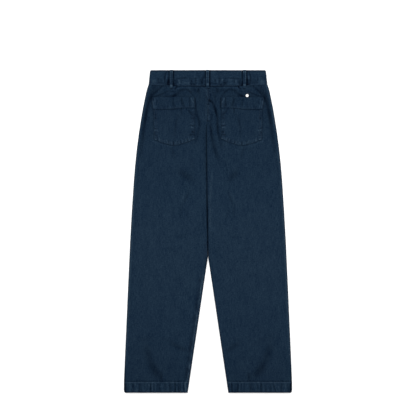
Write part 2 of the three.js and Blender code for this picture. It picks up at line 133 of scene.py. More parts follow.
leftFolds = [
    (-38, 119, -39, 140, -35, 155, 4, -1.4, -0.55),
    (-37, 146, -25, 168, -29, 190, 4.5, -1.6, -0.8),
    (-29, 183, -33, 212, -42, 244, 6, -1.4, -0.55),
    (-26, 84, -24, 125, -15, 178, 8, 1.5, 0.14),
    (-98, 328, -75, 344, -46, 364, 13, -2.6, -0.54),
    (-55, 288, -50, 312, -47, 347, 6, -1.1, -0.12),
    (-62, 392, -68, 414, -82, 440, 4.5, -1.6, -0.4),
    (-74, 394, -77, 414, -90, 440, 6, 1.1, 0.1),
    (-87, 432, -89, 460, -87, 490, 4, -1.2, -0.32),
    (-77, 446, -71, 466, -61, 494, 5, -1.1, -0.24),
    (-17, 455, -19, 492, -8, 529, 4, -1.2, -0.28),
    (-106, 546, -90, 542, -72, 546, 4, -0.9, -0.3),
    (-144, 583, -124, 580, -107, 584, 4.5, -0.8, -0.24),
    (-206, 888, -196, 956, -151, 1014, 13, -2.2, -0.42),
    (-186, 955, -176, 985, -152, 1014, 15, -1.0, -0.2),
    (-126, 880, -102, 906, -62, 916, 8, -1.6, -0.48),
    (-151, 984, -153, 1000, -153, 1016, 5, -1.1, -0.3),
    (-150, 850, -128, 868, -112, 884, 10, 0.9, 0.05),
]
rightFolds = [
    (1, 98, 14, 99, 19, 117, 3.6, -2.6, -1.0),
    (18, 113, 25, 130, 32, 161, 3.8, -3.2, -1.25),
    (32, 156, 28, 182, 37, 226, 4, -2.4, -1.0),
    (37, 215, 42, 234, 45, 264, 6, -1.5, -0.35),
    (24, 84, 36, 112, 41, 178, 6, 2.3, 0.2),
    (42, 163, 46, 205, 58, 252, 8, 1.5, 0.06),
    (6, 170, 11, 200, 13, 229, 4.4, -2.2, -0.9),
    (12, 216, 19, 256, 36, 300, 8, -2.2, -0.72),
    (20, 174, 22, 205, 29, 242, 6, 1.6, 0.1),
    (5, 139, 20, 152, 6, 169, 3, -1.2, -0.5),
    (10, 61, 22, 80, 24, 107, 3.5, -1.2, -0.35),
    (8, 73, 5, 90, 4, 100, 3.5, -0.9, -0.4),
    (98, 328, 84, 344, 64, 364, 12, -2.6, -0.54),
    (56, 290, 63, 312, 62, 345, 6, -1.1, -0.12),
    (66, 394, 70, 414, 81, 440, 4.5, -1.6, -0.4),
    (75, 396, 79, 414, 90, 440, 6, 1.1, 0.1),
    (83, 432, 85, 460, 82, 490, 4, -1.2, -0.32),
    (71, 448, 66, 470, 56, 496, 5, -1.1, -0.24),
    (70, 546, 88, 542, 102, 546, 4, -0.9, -0.3),
    (107, 584, 124, 580, 142, 583, 4.5, -0.8, -0.24),
    (208, 888, 196, 956, 138, 1014, 13, -2.2, -0.42),
    (186, 952, 172, 980, 148, 1004, 16, -1.0, -0.22),
    (103, 884, 82, 906, 55, 920, 8, -1.6, -0.48),
    (131, 984, 135, 1000, 133, 1014, 5, -1.1, -0.3),
    (130, 852, 112, 868, 98, 886, 10, 0.9, 0.05),
]
bandFolds = [
    (131, 1, 146, 24, 136, 50, 2.6, -1.2, -1.05),
    (133, 10, 135, 22, 132, 36, 2.6, 0.6, 0.3),
    (130, 24, 129, 38, 130, 54, 2.6, -1.1, -1.1),
    (105, 27, 102, 40, 106, 54, 5.5, -0.9, -0.8),
    (116, 36, 112, 46, 111, 54, 3, -0.8, -1.2),
    (72, 26, 82, 24, 92, 28, 2.4, -0.4, -0.4),
    (62, 0, 66, 20, 60, 50, 6, -0.5, -0.05),
]
bandOneSided = [
    (-11, 14, -22, 34, -19, 53, 3.6, -0.8, -0.85),
    (-16, 8, -22, 24, -28, 36, 3, 0.5, 0.25),
    (33, 12, 40, 26, 36, 48, 4.5, -0.6, -0.4),
]

# Small puckers and stitched spots, pale where worn and dark where painted shade lies: start x, down, end x,
# down, half width, tone
pairedDabs = [
    (100, 55, 107, 61, 2.4, -0.9), (105, 55, 107, 56, 2.2, 0.55), (117, 60, 121, 60, 2.8, -0.6),
    (125, 60, 127, 60, 2.4, 0.35), (128, 54, 150, 53, 1.8, -0.5), (108, 82, 111, 83, 4, -0.5),
    (150, 53, 186, 49, 2.4, -0.25), (18, 58, 60, 56, 3, 0.14), (58, 56, 100, 60, 3, 0.2),
    (103, 82, 112, 84, 5, -0.5), (94, 74, 99, 77, 5, -0.3), (79, 64, 88, 66, 5, -0.6),
    (42, 65, 52, 66, 5.5, -0.4), (29, 62, 34, 70, 4, -0.6), (172, 237, 138, 247, 4, 0.2),
    (100, 54, 105, 60, 2.2, -0.5), (150, 236, 178, 232, 3, 0.28), (168, 226, 182, 228, 4, 0.2),
    (112, 250, 152, 240, 2.6, 0.1),
]
centreDabs = [
    (-17, 57, -4, 68, 1.9, 0.45), (-4, 68, 0, 77, 1.8, 0.3), (-5, 79, -4, 82, 2.4, 0.3),
    (1, 84, 1, 90, 2.6, 0.4), (-5, 85, -5, 91, 2.4, -0.7), (2, 98, 6, 102, 3, -0.9),
    (-2, 111, 4, 111, 2.4, -0.7), (0, 116, 1, 119, 2.8, 0.4), (2, 124, 7, 126, 2.4, 0.35),
    (-1, 131, 4, 132, 2, -0.45), (1, 139, 7, 144, 2.2, -0.35), (2, 149, 4, 151, 2, 0.3),
    (-1, 155, 3, 160, 3, 0.45), (-1, 164, 6, 165, 2.2, -0.55), (-120, 76, -115, 76, 3, 0.5),
    (-120, 71, -115, 71, 2, -0.4), (0, 56, 3, 59, 2.6, -0.8), (-73, 1013, -72, 1016, 2.4, 0.8),
    (-176, 960, -168, 985, 11, -0.16), (-196, 904, -190, 924, 9, -0.18), (-152, 990, -152, 1011, 4, -0.3),
    (178, 966, 160, 990, 13, -0.18), (197, 904, 190, 924, 9, -0.2), (133, 990, 134, 1011, 5, -0.3),
    (-210, 878, -182, 870, 8, -0.14), (168, 880, 204, 868, 8, -0.14), (-9, 558, -3, 559, 2, -0.5),
    (-10, 569, -3, 570, 2.4, -0.45),
]
pocketDabs = [
    (54, 91, 47, 106, 2.6, 1.0), (48, 112, 47, 119, 2.4, 0.4), (45, 91, 46, 96, 2.2, 0.45),
    (56, 87, 58, 88, 2.8, -0.8), (59, 92, 58, 118, 2.4, -0.7), (49, 96, 48, 98, 2, -0.6),
    (53, 112, 53, 118, 2.2, -0.45), (63, 89, 63, 98, 2.2, 0.35), (67, 112, 66, 120, 2.4, 0.25),
    (76, 92, 78, 100, 3, 0.15), (179, 100, 176, 122, 2.4, 1.1), (171, 98, 171, 119, 2, 0.4),
    (173, 92, 171, 103, 2.6, 0.4), (164, 91, 161, 95, 3, 0.45), (166, 99, 166, 108, 2.4, -0.35),
    (177, 95, 178, 99, 2.4, -0.5), (168, 117, 168, 125, 2.4, 0.5), (142, 91, 136, 93, 3, 0.3),
    (116, 117, 113, 120, 3, 0.4), (103, 112, 101, 119, 3, 0.2), (128, 94, 124, 98, 3, 0.12),
    (173, 169, 175, 171, 3.4, 0.45), (176, 180, 173, 183, 3.4, 0.45), (174, 195, 165, 197, 3.2, 0.78),
    (177, 138, 176, 142, 2.6, 0.45), (170, 156, 171, 158, 3, -0.78), (171, 145, 171, 148, 3, -0.45),
    (175, 189, 166, 191, 2.2, -0.52), (175, 203, 168, 214, 2.6, -0.59), (166, 131, 176, 133, 2.4, -0.39),
    (53, 174, 51, 176, 3, 0.52), (55, 186, 49, 187, 2.2, 0.85), (57, 180, 45, 180, 2, -0.72),
    (52, 157, 44, 159, 3, -0.45), (51, 201, 45, 203, 2.6, -0.78), (57, 211, 45, 210, 3, -0.98),
    (49, 215, 46, 215, 1.9, 0.8), (50, 218.5, 47, 218.5, 1.5, -0.4), (46.5, 222, 44, 223, 1.9, 1.3),
    (173, 218, 168, 217, 2.2, 0.6), (174, 224, 168, 226, 1.7, 0.86), (168, 220, 171, 221, 2, -0.5),
    (163, 222, 163, 230, 2, -0.5), (165, 231, 170, 232, 2, -0.3), (158, 221, 157, 233, 1.9, 0.7),
    (152, 229, 166, 228, 2.6, 0.3), (149, 226, 147, 235, 1.7, 0.46), (141, 228, 140, 236, 1.6, 0.46),
    (134, 228, 130, 238, 1.9, 0.69), (128, 230, 127, 236, 2, -0.65), (123, 234, 124, 243, 1.7, 0.57),
    (118, 233, 116, 242, 1.7, 0.57), (111, 234, 111, 246, 1.9, -1.09), (107, 240, 99, 229, 1.7, 0.57),
    (98, 231, 99, 234, 2, -0.55), (104, 241, 98, 243, 1.6, 0.4), (93, 231, 91, 240, 1.6, 0.46),
    (89, 231, 88, 237, 1.6, -0.98), (84, 227, 82, 236, 1.9, 0.52), (76, 226, 75, 232, 1.6, -0.57),
    (71, 224, 69, 235, 1.7, 0.63), (66, 224, 65, 229, 1.6, -0.86), (63, 221, 59, 230, 1.9, 0.69),
    (53, 220, 56, 226, 1.6, 0.29), (151, 238, 147, 238, 2, -0.5), (131, 241, 126, 242, 1.6, -0.8),
]
bandDabs = [
    (96, 38, 62, 39, 7, 0.16), (182, 36, 170, 37, 8, 0.25), (98, 46, 95, 49, 2.6, 0.5),
    (86, 34, 87, 40, 3.2, -0.6), (96, 35, 97, 37, 3, -0.12), (91, 38, 92, 42, 2.6, 0.3),
    (80, 31, 66, 34, 4, 0.18), (90, 42, 62, 44, 3.6, 0.18), (92, 29, 62, 30, 2, 0.15),
    (53, 35, 53, 48, 3.4, -0.75), (46, 45, 43, 48, 3.4, -0.8), (57, 35, 57, 47, 2.2, -0.4),
    (48, 31, 46, 33, 3, 0.3), (31, 29, 32, 44, 2.8, 0.35), (38, 27, 38, 44, 3, -0.25),
    (60, 40, 59, 48, 2.6, 0.3), (163, 27, 160, 39, 3, -0.65), (151, 29, 151, 40, 4, -0.35),
    (176, 36, 177, 42, 3.6, 0.2), (143, 42, 168, 43, 2, -0.4), (142, 45, 186, 44, 2.2, 0.16),
    (184, 25, 142, 24, 2, 0.15), (182, 10, 160, 12, 5, 0.1), (187, 28, 187, 44, 2, -0.5),
    (134, 20, 134, 36, 2.2, 0.2), (110, 22, 20, 23, 2, 0.16), (100, 28, 66, 26, 2, -0.5),
    (58, 26, 46, 27, 2.4, -0.2), (60, 27, 30, 27, 2, -0.3), (118, 6, 130, 3, 2.4, -0.5),
    (97, 8, 98, 18, 2.6, 0.18), (103, 8, 102, 16, 2.4, -0.25),
]
bandPatches = [    # on one side only, the outline of a small square right of the middle among them
    (17, 26, 17, 41, 2.2, 0.35), (30, 27, 30, 40, 2.2, 0.1), (17, 27, 30, 27, 1.8, -0.2),
    (18, 41, 30, 41, 2, 0.2), (23, 33, 24, 35, 3, -0.85), (12, 43, 28, 43, 2, -0.5),
    (12, 48, 30, 49, 2.4, 0.2), (-43, 3, -43, 22, 3, 0.3), (20, 4, 24, 24, 6, 0.22),
    (-36, 18, -20, 24, 3, -0.32), (-27, 27, -24, 32, 3.5, -0.35), (-28, 34, -14, 46, 5, -0.4),
    (-41, 28, -41, 46, 3, -0.45), (-96, 34, -94, 40, 3, 0.35), (-90, 43, -83, 46, 4, 0.3),
    (62, 34, 61, 40, 3, -0.5), (58, 42, 60, 47, 3.5, -0.9), (10, 44, 34, 46, 3.5, -0.2),
    (47, 27, 47, 40, 2.4, 0.6), (88, 51, 98, 52, 3, -0.3), (91, 34, 92, 38, 3, 0.4),
    (184, 37, 172, 38, 7, 0.22),
]
# Puckers of the turned-up hems, outer ones first: x at the stitches, x at the edge, half width, height
hemGathers = {
    -1: [
        (-267, -268, 2.6, -1.0), (-254, -255, 3.2, 0.7), (-243, -245, 2.6, -0.6), (-237, -234, 3, 0.6),
        (-228, -231, 2.6, 0.5), (-222, -224, 2.4, -0.8), (-213, -209, 3, 0.4), (-216, -217, 2, -0.4),
        (-192, -193, 2.6, 0.6), (-187, -186, 2.6, -1.1), (-182, -181, 2.6, 0.7), (-176, -177, 2.2, -0.5),
        (-171, -171, 2.6, 0.4), (-165, -166, 2.4, -0.3), (-158, -159, 3.4, -0.6), (-151, -150, 2.8, 0.5),
        (-145, -146, 2.2, 0.4), (-141, -141, 2.2, -0.5), (-130, -129, 2.6, 0.6), (-124, -123, 3.2, -0.8),
        (-115, -116, 2.8, 0.3), (-107, -106, 2.8, -1.1), (-102, -101, 2.4, 0.5), (-97, -94, 3, -0.7),
        (-90, -90, 2.2, -0.7), (-86, -83, 3, 0.8), (-80, -79, 2.4, -0.7), (-74, -72, 3.4, 1.3),
    ],
    1: [
        (268, 268.5, 2.6, -1.4), (259, 259, 2.2, -0.5), (252, 253, 3.2, 0.7), (238, 238, 3.6, -0.6),
        (233, 232, 2.8, 0.7), (217, 226, 2.8, 0.7), (213, 221, 2.6, -0.7), (210, 211, 2.4, 0.5),
        (206, 204, 2.4, -0.5), (198, 197, 3.4, 0.25), (187, 187, 3.6, -0.4), (179, 184, 2.8, 0.6),
        (173, 172, 3.4, -1.0), (167, 167, 2.6, 0.7), (161, 160, 3, -0.5), (154, 158, 3, 0.5),
        (148, 147, 3, -0.35), (138, 138, 3.8, -0.7), (128, 130, 3.4, 0.3), (118, 119, 2.2, -0.4),
        (122, 123, 2.2, 0.4), (113, 113, 2.4, 0.3), (108, 107, 2.6, -0.4), (103, 104, 2.6, 0.4),
        (97, 97, 3.2, -0.9), (88, 89, 2.2, -0.4), (77, 78, 3, -1.0), (72, 72, 2.6, 0.5), (68, 68, 2.2, -0.8),
    ],
}
backLoops = {"belt_loop_back_left": -119.6, "belt_loop_back_center": -1.3, "belt_loop_back_right": 119.0}
frontLoops = {"belt_loop_front_left": -104, "belt_loop_front_right": 104}
loop = {"width": 10.1, "end": 59}
middleLoopReach = 60    # the middle back loop is the only one this near the centre line
button = {"across": 127.5, "down": 83, "radius": 4.8, "foot": 4, "sink": 0.1}


def smoothStep(low, high, value):
    t = np.clip((value - low) / (high - low), 0, 1)
    return t * t * (3 - 2 * t)


def window(value, rise, full, fall, gone):    # 1 between full and fall, 0 outside rise and gone
    return smoothStep(rise, full, value) * (1 - smoothStep(fall, gone, value))


def roundRise(distance, reach):    # a quarter round edge, 0 to 1
    t = 1 - np.clip(distance / reach, 0, 1)
    return np.sqrt(1 - t * t)


def bell(distance, width):
    return np.exp(-((distance / width) ** 2))


def lookUp(table, value):
    return np.interp(value, table[:, 0], table[:, 1])


def halfWidth(down):
    return lookUp(outline, down) + garment["bulge"]


def lift(down):
    return garment["frontLift"] * (1 - smoothStep(52, garment["liftEnd"], down))


bandEdge = {"middle": 53, "sideRise": 6.5, "sag": 2.7, "side": 190}    # side: where the strip turns round


def bandBottom(x):    # lower edge of the waistband, which sags a little just short of the sides
    away = np.abs(x)
    sag = bandEdge["sag"] * window(away, 125, 148, 180, 189)
    return bandEdge["middle"] - bandEdge["sideRise"] * smoothStep(85, 160, away) + sag


def innerEdge(side, down):
    parting = np.maximum(0, garment["legSlope"] * (down - garment["legsPart"]) - garment["bulge"])
    return lookUp(seatSeam, down) + side * (garment["seamGap"] / 2 + parting)


def foldField(rows, x, down):    # height of soft troughs and ridges along bowed lines, and their tone: painted shade in the troughs, painted highlight on the ridges
    height, tone = np.zeros_like(x), np.zeros_like(x)
    share = np.linspace(0, 1, 13)
    for x0, d0, xb, db, x1, d1, width, high, paint in rows:
        bowX = (1 - share) ** 2 * x0 + 2 * share * (1 - share) * xb + share**2 * x1
        bowD = (1 - share) ** 2 * d0 + 2 * share * (1 - share) * db + share**2 * d1
        reach = 3 * width
        near = (x > bowX.min() - reach) & (x < bowX.max() + reach)
        near &= (down > bowD.min() - reach) & (down < bowD.max() + reach)
        if not near.any():
            continue
        px, pd = x[near], down[near]
        nearest, along = np.full(px.shape, 1e9), np.zeros(px.shape)
        for k in range(len(share) - 1):
            dx, dd = bowX[k + 1] - bowX[k], bowD[k + 1] - bowD[k]
            t = np.clip(((px - bowX[k]) * dx + (pd - bowD[k]) * dd) / (dx * dx + dd * dd), 0, 1)
            distance = np.hypot(px - bowX[k] - t * dx, pd - bowD[k] - t * dd)
            closer = distance < nearest
            nearest = np.where(closer, distance, nearest)
            along = np.where(closer, share[k] + t / (len(share) - 1), along)
        shape = np.sqrt(np.sin(np.pi * np.clip(along, 0.04, 0.96))) * bell(nearest, width)
        height[near] += high * shape
        tone[near] += paint * shape**1.3
    return height, tone


def dabField(rows, x, down):    # tone of small straight puckers and spots: pale where worn, dark for painted shade
    tone = np.zeros_like(x)
    for x0, d0, x1, d1, width, paint in rows:
        reach = 3 * width
        near = (x > min(x0, x1) - reach) & (x < max(x0, x1) + reach)
        near &= (down > min(d0, d1) - reach) & (down < max(d0, d1) + reach)
        if not near.any():
            continue
        px, pd = x[near], down[near]
        dx, dd = x1 - x0, d1 - d0
        t = np.clip(((px - x0) * dx + (pd - d0) * dd) / (dx * dx + dd * dd), 0, 1)
        tone[near] += paint * bell(np.hypot(px - x0 - t * dx, pd - d0 - t * dd), width)
    return tone


def paired(x):
    return np.abs(x - pairAxis)


def hemField(side, x, down):    # gathers of the turned-up hem
    height = np.zeros_like(x)
    if down.max() < hemTop - 25:
        return height
    share = np.clip((down - hemTop) / garment["hemHeight"], 0, 1)
    fadeUp = smoothStep(hemTop - 9, hemTop + 3, down)
    for top, bottom, width, high in hemGathers[side]:
        height += high * bell(x - (top + (bottom - top) * share), width)
    return height * fadeUp


def ripple(x, down, wavelength, seed, waves=14):    # soft unevenness, about -1 to 1
    rng = np.random.default_rng(seed)
    total = np.zeros_like(x)
    for _ in range(waves):
        angle = rng.uniform(0, math.pi)
        pace = 2 * math.pi / (wavelength * rng.uniform(0.7, 1.5))
        total += np.sin(pace * (x * math.cos(angle) + down * math.sin(angle)) + rng.uniform(0, 2 * math.pi))
    return total / math.sqrt(waves)


seat = {
    "sideRound": 9,       # reach of the rounded outer edges
    "legRound": 9,        # reach of the rounded edges between the legs
    "ladderPitch": 9,     # puckers across the seat seam
    "ladderHeight": 0.5,
    "seamRidge": 0.7,
    "sideSeam": 0.5,
    "ripple": 0.3,
    "fineRipple": 0.12,
    "gathers": 0.35,      # under the waistband
    "pocketDip": 0.6,     # the cloth dips where a pocket's edge is sewn to it
    "dabHeight": 0.4,     # of a small pucker with a tone of 1
}
hem = {"fold": 1.1, "pucker": 0.8, "pull": 0.7, "stitchDown": hemTop - 2}

# down, how dark the line is where the legs press together
partingShade = np.array([
    (176, 0), (200, 0.35), (260, 0.55), (370, 0.8), (385, 0.6), (400, 0.95), (450, 1.6), (515, 1.6),
    (530, 1.35), (552, 1.2), (558, 1.5), (600, 1.0), (612, 0),
])

# Light and dark lines along a back panel's edges: which edge, distance from it, half width, tone,
# side (0 for both), and where down the leg each fades in and out
# The dark lines are painted shade along the rounded edges, at the parting of the legs and beside the sewn left
# leg's ridge; the light one is that leg's worn stitching
always = (-2, -1, 1100, 1101)
sewnLeg = (640, 700, hemTop - 8, hemTop - 2)
edgeLines = [
    ("outer", 1, 1.8, -0.2, 0, always),
    ("outer", 12, 4, -0.16, 0, (250, 300, 760, 820)),
    ("outer", 3.5, 2.4, -1.0, 0, (950, 1000, 1100, 1101)),
    ("inner", 0, 16, -0.14, 0, (540, 590, 640, 690)),
    ("inner", 5, 4.5, -0.28, -1, (190, 215, 320, 350)),
    ("inner", 2, 2.4, -1.1, -1, (606, 612, 638, 650)),
    ("inner", 3.6, 1.5, -0.45, -1, sewnLeg),
    ("inner", 1.2, 1.4, 0.25, -1, sewnLeg),
    ("inner", 1, 2, -0.3, 1, (606, 612, 1100, 1101)),
]


def panelShape(side, x, down):    # height of a back panel's outer face, and its tone
    across = np.abs(x)
    fromSide = halfWidth(down) - across
    fromInner = np.abs(x - innerEdge(side, down))
    sinks = lookUp(creaseDepth, down)
    rise = roundRise(fromSide, seat["sideRound"]) * (1 - sinks * (1 - roundRise(fromInner, seat["legRound"])))
    floor = lift(down) + backFoot + wall["panel"]
    inside = smoothStep(2, 9, fromSide)

    pairHeight, pairTone = foldField(pairedFolds, paired(x), down)
    sideHeight, sideTone = foldField(leftFolds if side < 0 else rightFolds, x, down)
    folds, painted = pairHeight + sideHeight, pairTone + sideTone
    dabs = dabField(pairedDabs, paired(x), down) + dabField(centreDabs, x, down)
    uneven = seat["ripple"] * ripple(x, down, 55, 3) + seat["fineRipple"] * ripple(x, down, 19, 4)
    sideSeam = seat["sideSeam"] * bell(fromSide - 6, 3) * smoothStep(80, 160, down)

    # Puckers across the stitched seat seam, above the place where the legs press together
    above = 1 - smoothStep(165, 190, down)
    beside = np.abs(x - lookUp(seatSeam, down) - 2.5)
    step = down / seat["ladderPitch"] + 0.3 * np.sin(down / 17)
    ladder = seat["ladderHeight"] * np.cos(2 * np.pi * step) * bell(beside, 4) * above
    ladder = ladder + seat["seamRidge"] * bell(x - lookUp(seatSeam, down) + 4, 4) * above

    # Small gathers under the waistband
    under = down - bandBottom(x)
    gathers = seat["gathers"] * ripple(x, 0.25 * down, 13, 8) * bell(under - 5, 7)

    # The inner leg edges: both roll up between the legs, the left one is stitched twice
    roll = 0.5 * bell(fromInner - 6, 3) * smoothStep(176, 255, down)
    if side < 0:
        sewn = window(down, *sewnLeg)
        wander = 1.0 * ripple(x * 0, down, 26, 12) + 0.5 * ripple(x * 0, down, 10, 13)
        roll = roll + (0.7 * bell(fromInner - 6.5 - wander, 3) - 1.0 * bell(fromInner - 13 - wander, 5)) * sewn

    # The turned-up hem
    hemShare = smoothStep(hemTop - 4.5, hemTop - 1, down) * roundRise(garment["length"] - down, 3)
    low = roundRise(garment["length"] - down + 1, 6)
    gather = hemField(side, x, down)
    hemPull = -hem["pull"] * bell(down - hemTop + 6, 2.2)
    turned = hem["fold"] * hemShare + hem["pucker"] * gather * low
    turned = (turned + hemPull) * smoothStep(0, 6, np.minimum(fromSide, fromInner))

    # How far a spot lies outside the pocket's sides and bottom, and outside the whole pocket
    beyond = np.maximum(lookUp(pocketInner, down) - across, across - lookUp(pocketOuter, down))
    beyond = np.maximum(beyond, down - lookUp(pocketBottom, across))
    outside = np.maximum(beyond, pocketTop - down)
    dip = -seat["pocketDip"] * bell(outside - 2.5, 2.5) * (outside > -1)

    relief = folds * inside + ladder + roll + turned + seat["dabHeight"] * np.clip(dabs, -1, 1)
    height = floor + lookUp(arch, down) * rise + relief + (uneven + sideSeam + gathers) * inside + dip
    height = np.maximum(height, floor)

    # Tone: the broad tone, painted shade in the folds' troughs and painted highlight on their ridges, the dabs,
    # and the seat seam's puckers paler where they rise and darker where they sink, partly wear and partly
    # painted light and shade
    tone = lookUp(broadTone, down) + painted * inside + dabs + 0.25 * ladder
    for edge, distance, width, paint, onSide, span in edgeLines:
        if onSide in (0, side):
            fromEdge = fromSide if edge == "outer" else fromInner
            tone += paint * bell(fromEdge - distance, width) * window(down, *span)

    # The hem's gathers, paler on their ridges and darker in their hollows, partly wear and partly painted light
    # and shade; its stitched line, pale thread with a painted highlight on the step; painted shade in the
    # groove just above it and along the rounded bottom edge
    inHem = smoothStep(hemTop - 2, hemTop + 3, down)
    tone += np.where(gather > 0, 0.6, 0.85) * gather * inHem + 0.14 * ripple(x, 0.3 * down, 7, 61) * inHem
    pulse = 0.55 + 0.16 * ripple(x, down * 0, 13, 51) + 0.35 * np.minimum(gather, 0)
    tone += pulse * bell(down - hem["stitchDown"], 1.8)
    tone -= (0.72 + 0.25 * ripple(x, down * 0, 11, 52)) * bell(down - hem["stitchDown"] + 4.2, 1.6)
    tone -= 0.45 * bell(garment["length"] - down - 3, 2.2)

    # A pale line along the side seam, more of it beside the pockets: partly wear, partly painted light on the
    # rounded edge that turns away from the lamps
    brim = 0.26 + (0.2 if side < 0 else 0.42) * (1 - smoothStep(130, 230, down))
    tone += brim * bell(fromSide - 4.5, 3.2 if side < 0 else 3.8)

    # Shade round the pockets, under the waistband and round the button
    inner = window(down, 85, 95, 118, 130) * (across < 60)
    around = (0.1 + 0.22 * smoothStep(-1, 0.5, beyond)) * bell(outside - 1.5, 2)
    tone -= (around + 0.55 * bell(outside - 2.5, 2.5) * inner) * smoothStep(-1, 0, outside)
    tone -= 0.5 * bell(under, 2) * smoothStep(130, 100, across)
    fromButton = np.hypot(x - button["across"], down - button["down"])
    tone -= 0.9 * bell(fromButton - button["radius"] - 1.2, 1.3)

    # Painted shade in the parting of the legs, a painted highlight on the lit roll on the right, and along the
    # sewn left leg a worn ridge with painted shade in the trough beside it
    depth = lookUp(partingShade, down) * (1 if side < 0 else 1 - 0.25 * smoothStep(520, 545, down))
    tone -= depth * bell(fromInner, 2.6)
    if side > 0:
        lit = window(down, 310, 350, 500, 550) * (1 - 0.4 * smoothStep(390, 420, down))
        tone += 0.24 * bell(fromInner - np.interp(down, [340, 420], [17, 9]), 4.8) * lit
    else:
        ragged = np.clip(1 + 0.55 * ripple(x * 0, down, 24, 14) + 0.45 * ripple(x * 0, down, 9, 15), 0, 2.2)
        lumpy = np.clip(1 + 0.7 * ripple(x * 0, down, 30, 16), 0, 2)
        ridge = 0.6 * bell(fromInner - 6.5 - wander, 1.8) * ragged
        tone += (ridge - 0.36 * bell(fromInner - 14 - wander, 5.5) * lumpy) * sewn
    return height, tone


pocketLook = {
    "stitchInset": (2, 8.5),    # two rows of stitches round the sides and the bottom
    "groove": 0.1,
    "hemGroove": 0.3,
    "tickPitch": 5.6,           # short puckers along the hem's stitches, near the side seam
    "dabHeight": 0.42,
    "paleDabs": 0.72,           # the pale dabs are drawn a little weaker than listed
}


def pocketShape(side, x, down):    # height of a back pocket's outer face, and its tone
    base = panelShape(side, x, down)[0]
    across = np.abs(x)
    hemEdge = lookUp(pocketHemEdge, across)
    fromSides = np.minimum(across - lookUp(pocketInner, down), lookUp(pocketOuter, down) - across)
    fromBottom = lookUp(pocketBottom, across) - down
    fromEdge = np.minimum(fromSides, fromBottom)
    isHem = 1 - smoothStep(hemEdge, hemEdge + 2, down)
    thick = wall["pocket"] + (wall["pocketHem"] - wall["pocket"]) * isHem
    rim = 0.3 + 0.7 * roundRise(np.minimum(fromEdge, down - pocketTop + 0.6), 2)

    dabs = dabField(pocketDabs, paired(x), down)
    dabs = np.where(dabs > 0, pocketLook["paleDabs"] * dabs, dabs)
    body = (1 - isHem) * (fromEdge < 16)
    rowsSewn = sum(bell(fromEdge - inset, 1.2) for inset in pocketLook["stitchInset"])
    groove = -pocketLook["groove"] * rowsSewn * body
    ticks = np.cos(2 * np.pi * across / pocketLook["tickPitch"]) * smoothStep(112, 122, across)
    ticks = ticks * isHem * bell(down - hemEdge + 6, 4)
    rows = ripple(x * 0, down, 9, 33) * bell(fromSides - 5, 5) * body
    hemPuckers = 0.2 * ripple(x, 0.2 * down, 12, 31) * isHem * bell(down - hemEdge + 8, 9)
    hemGroove = -pocketLook["hemGroove"] * bell(down - hemEdge + 3, 1.2) * isHem

    relief = pocketLook["dabHeight"] * np.clip(dabs, -1, 1) + groove + hemPuckers + 0.2 * ticks + 0.15 * rows
    height = base + garment["seamGap"] + thick * rim + relief + hemGroove
    height = np.maximum(height, base + garment["seamGap"] + 0.3)

    # Tone: painted shade and highlight of the folds, the dabs, and the hem's puckers, ticks and stitched rows
    # paler on their ridges and darker in their hollows, partly wear and partly painted light and shade; a faint
    # pale line above the hem's lower edge
    painted = foldField(pairedFolds, paired(x), down)[1]
    tone = lookUp(broadTone, down) + 0.06 + painted + dabs + 0.3 * ticks + 0.22 * rows + 1.2 * hemPuckers
    tone += 0.08 * isHem * bell(down - hemEdge + 4, 2) * smoothStep(70, 110, across)
    underHem = 0.45 + 0.4 * smoothStep(88, 112, across)    # the shade below the hem is darker on the outer half
    tone -= underHem * bell(down - hemEdge - 1.4, 1.7) * smoothStep(0, 4, fromSides)
    # Painted shade along the pocket's edge, where it rolls down to the panel
    return height, tone - 0.2 * bell(fromEdge, 1.6)


bandLook = {
    "crown": 0.6,
    "besideLoop": 7.4,    # where the cloth is pulled in beside a loop, from the loop's middle
    "pull": 1.0,
    "midLine": 26,        # a faint pressed line half way down
    "stitchInset": 3.5,
    "stitchSink": 0.3,
    "dabHeight": 0.35,
}


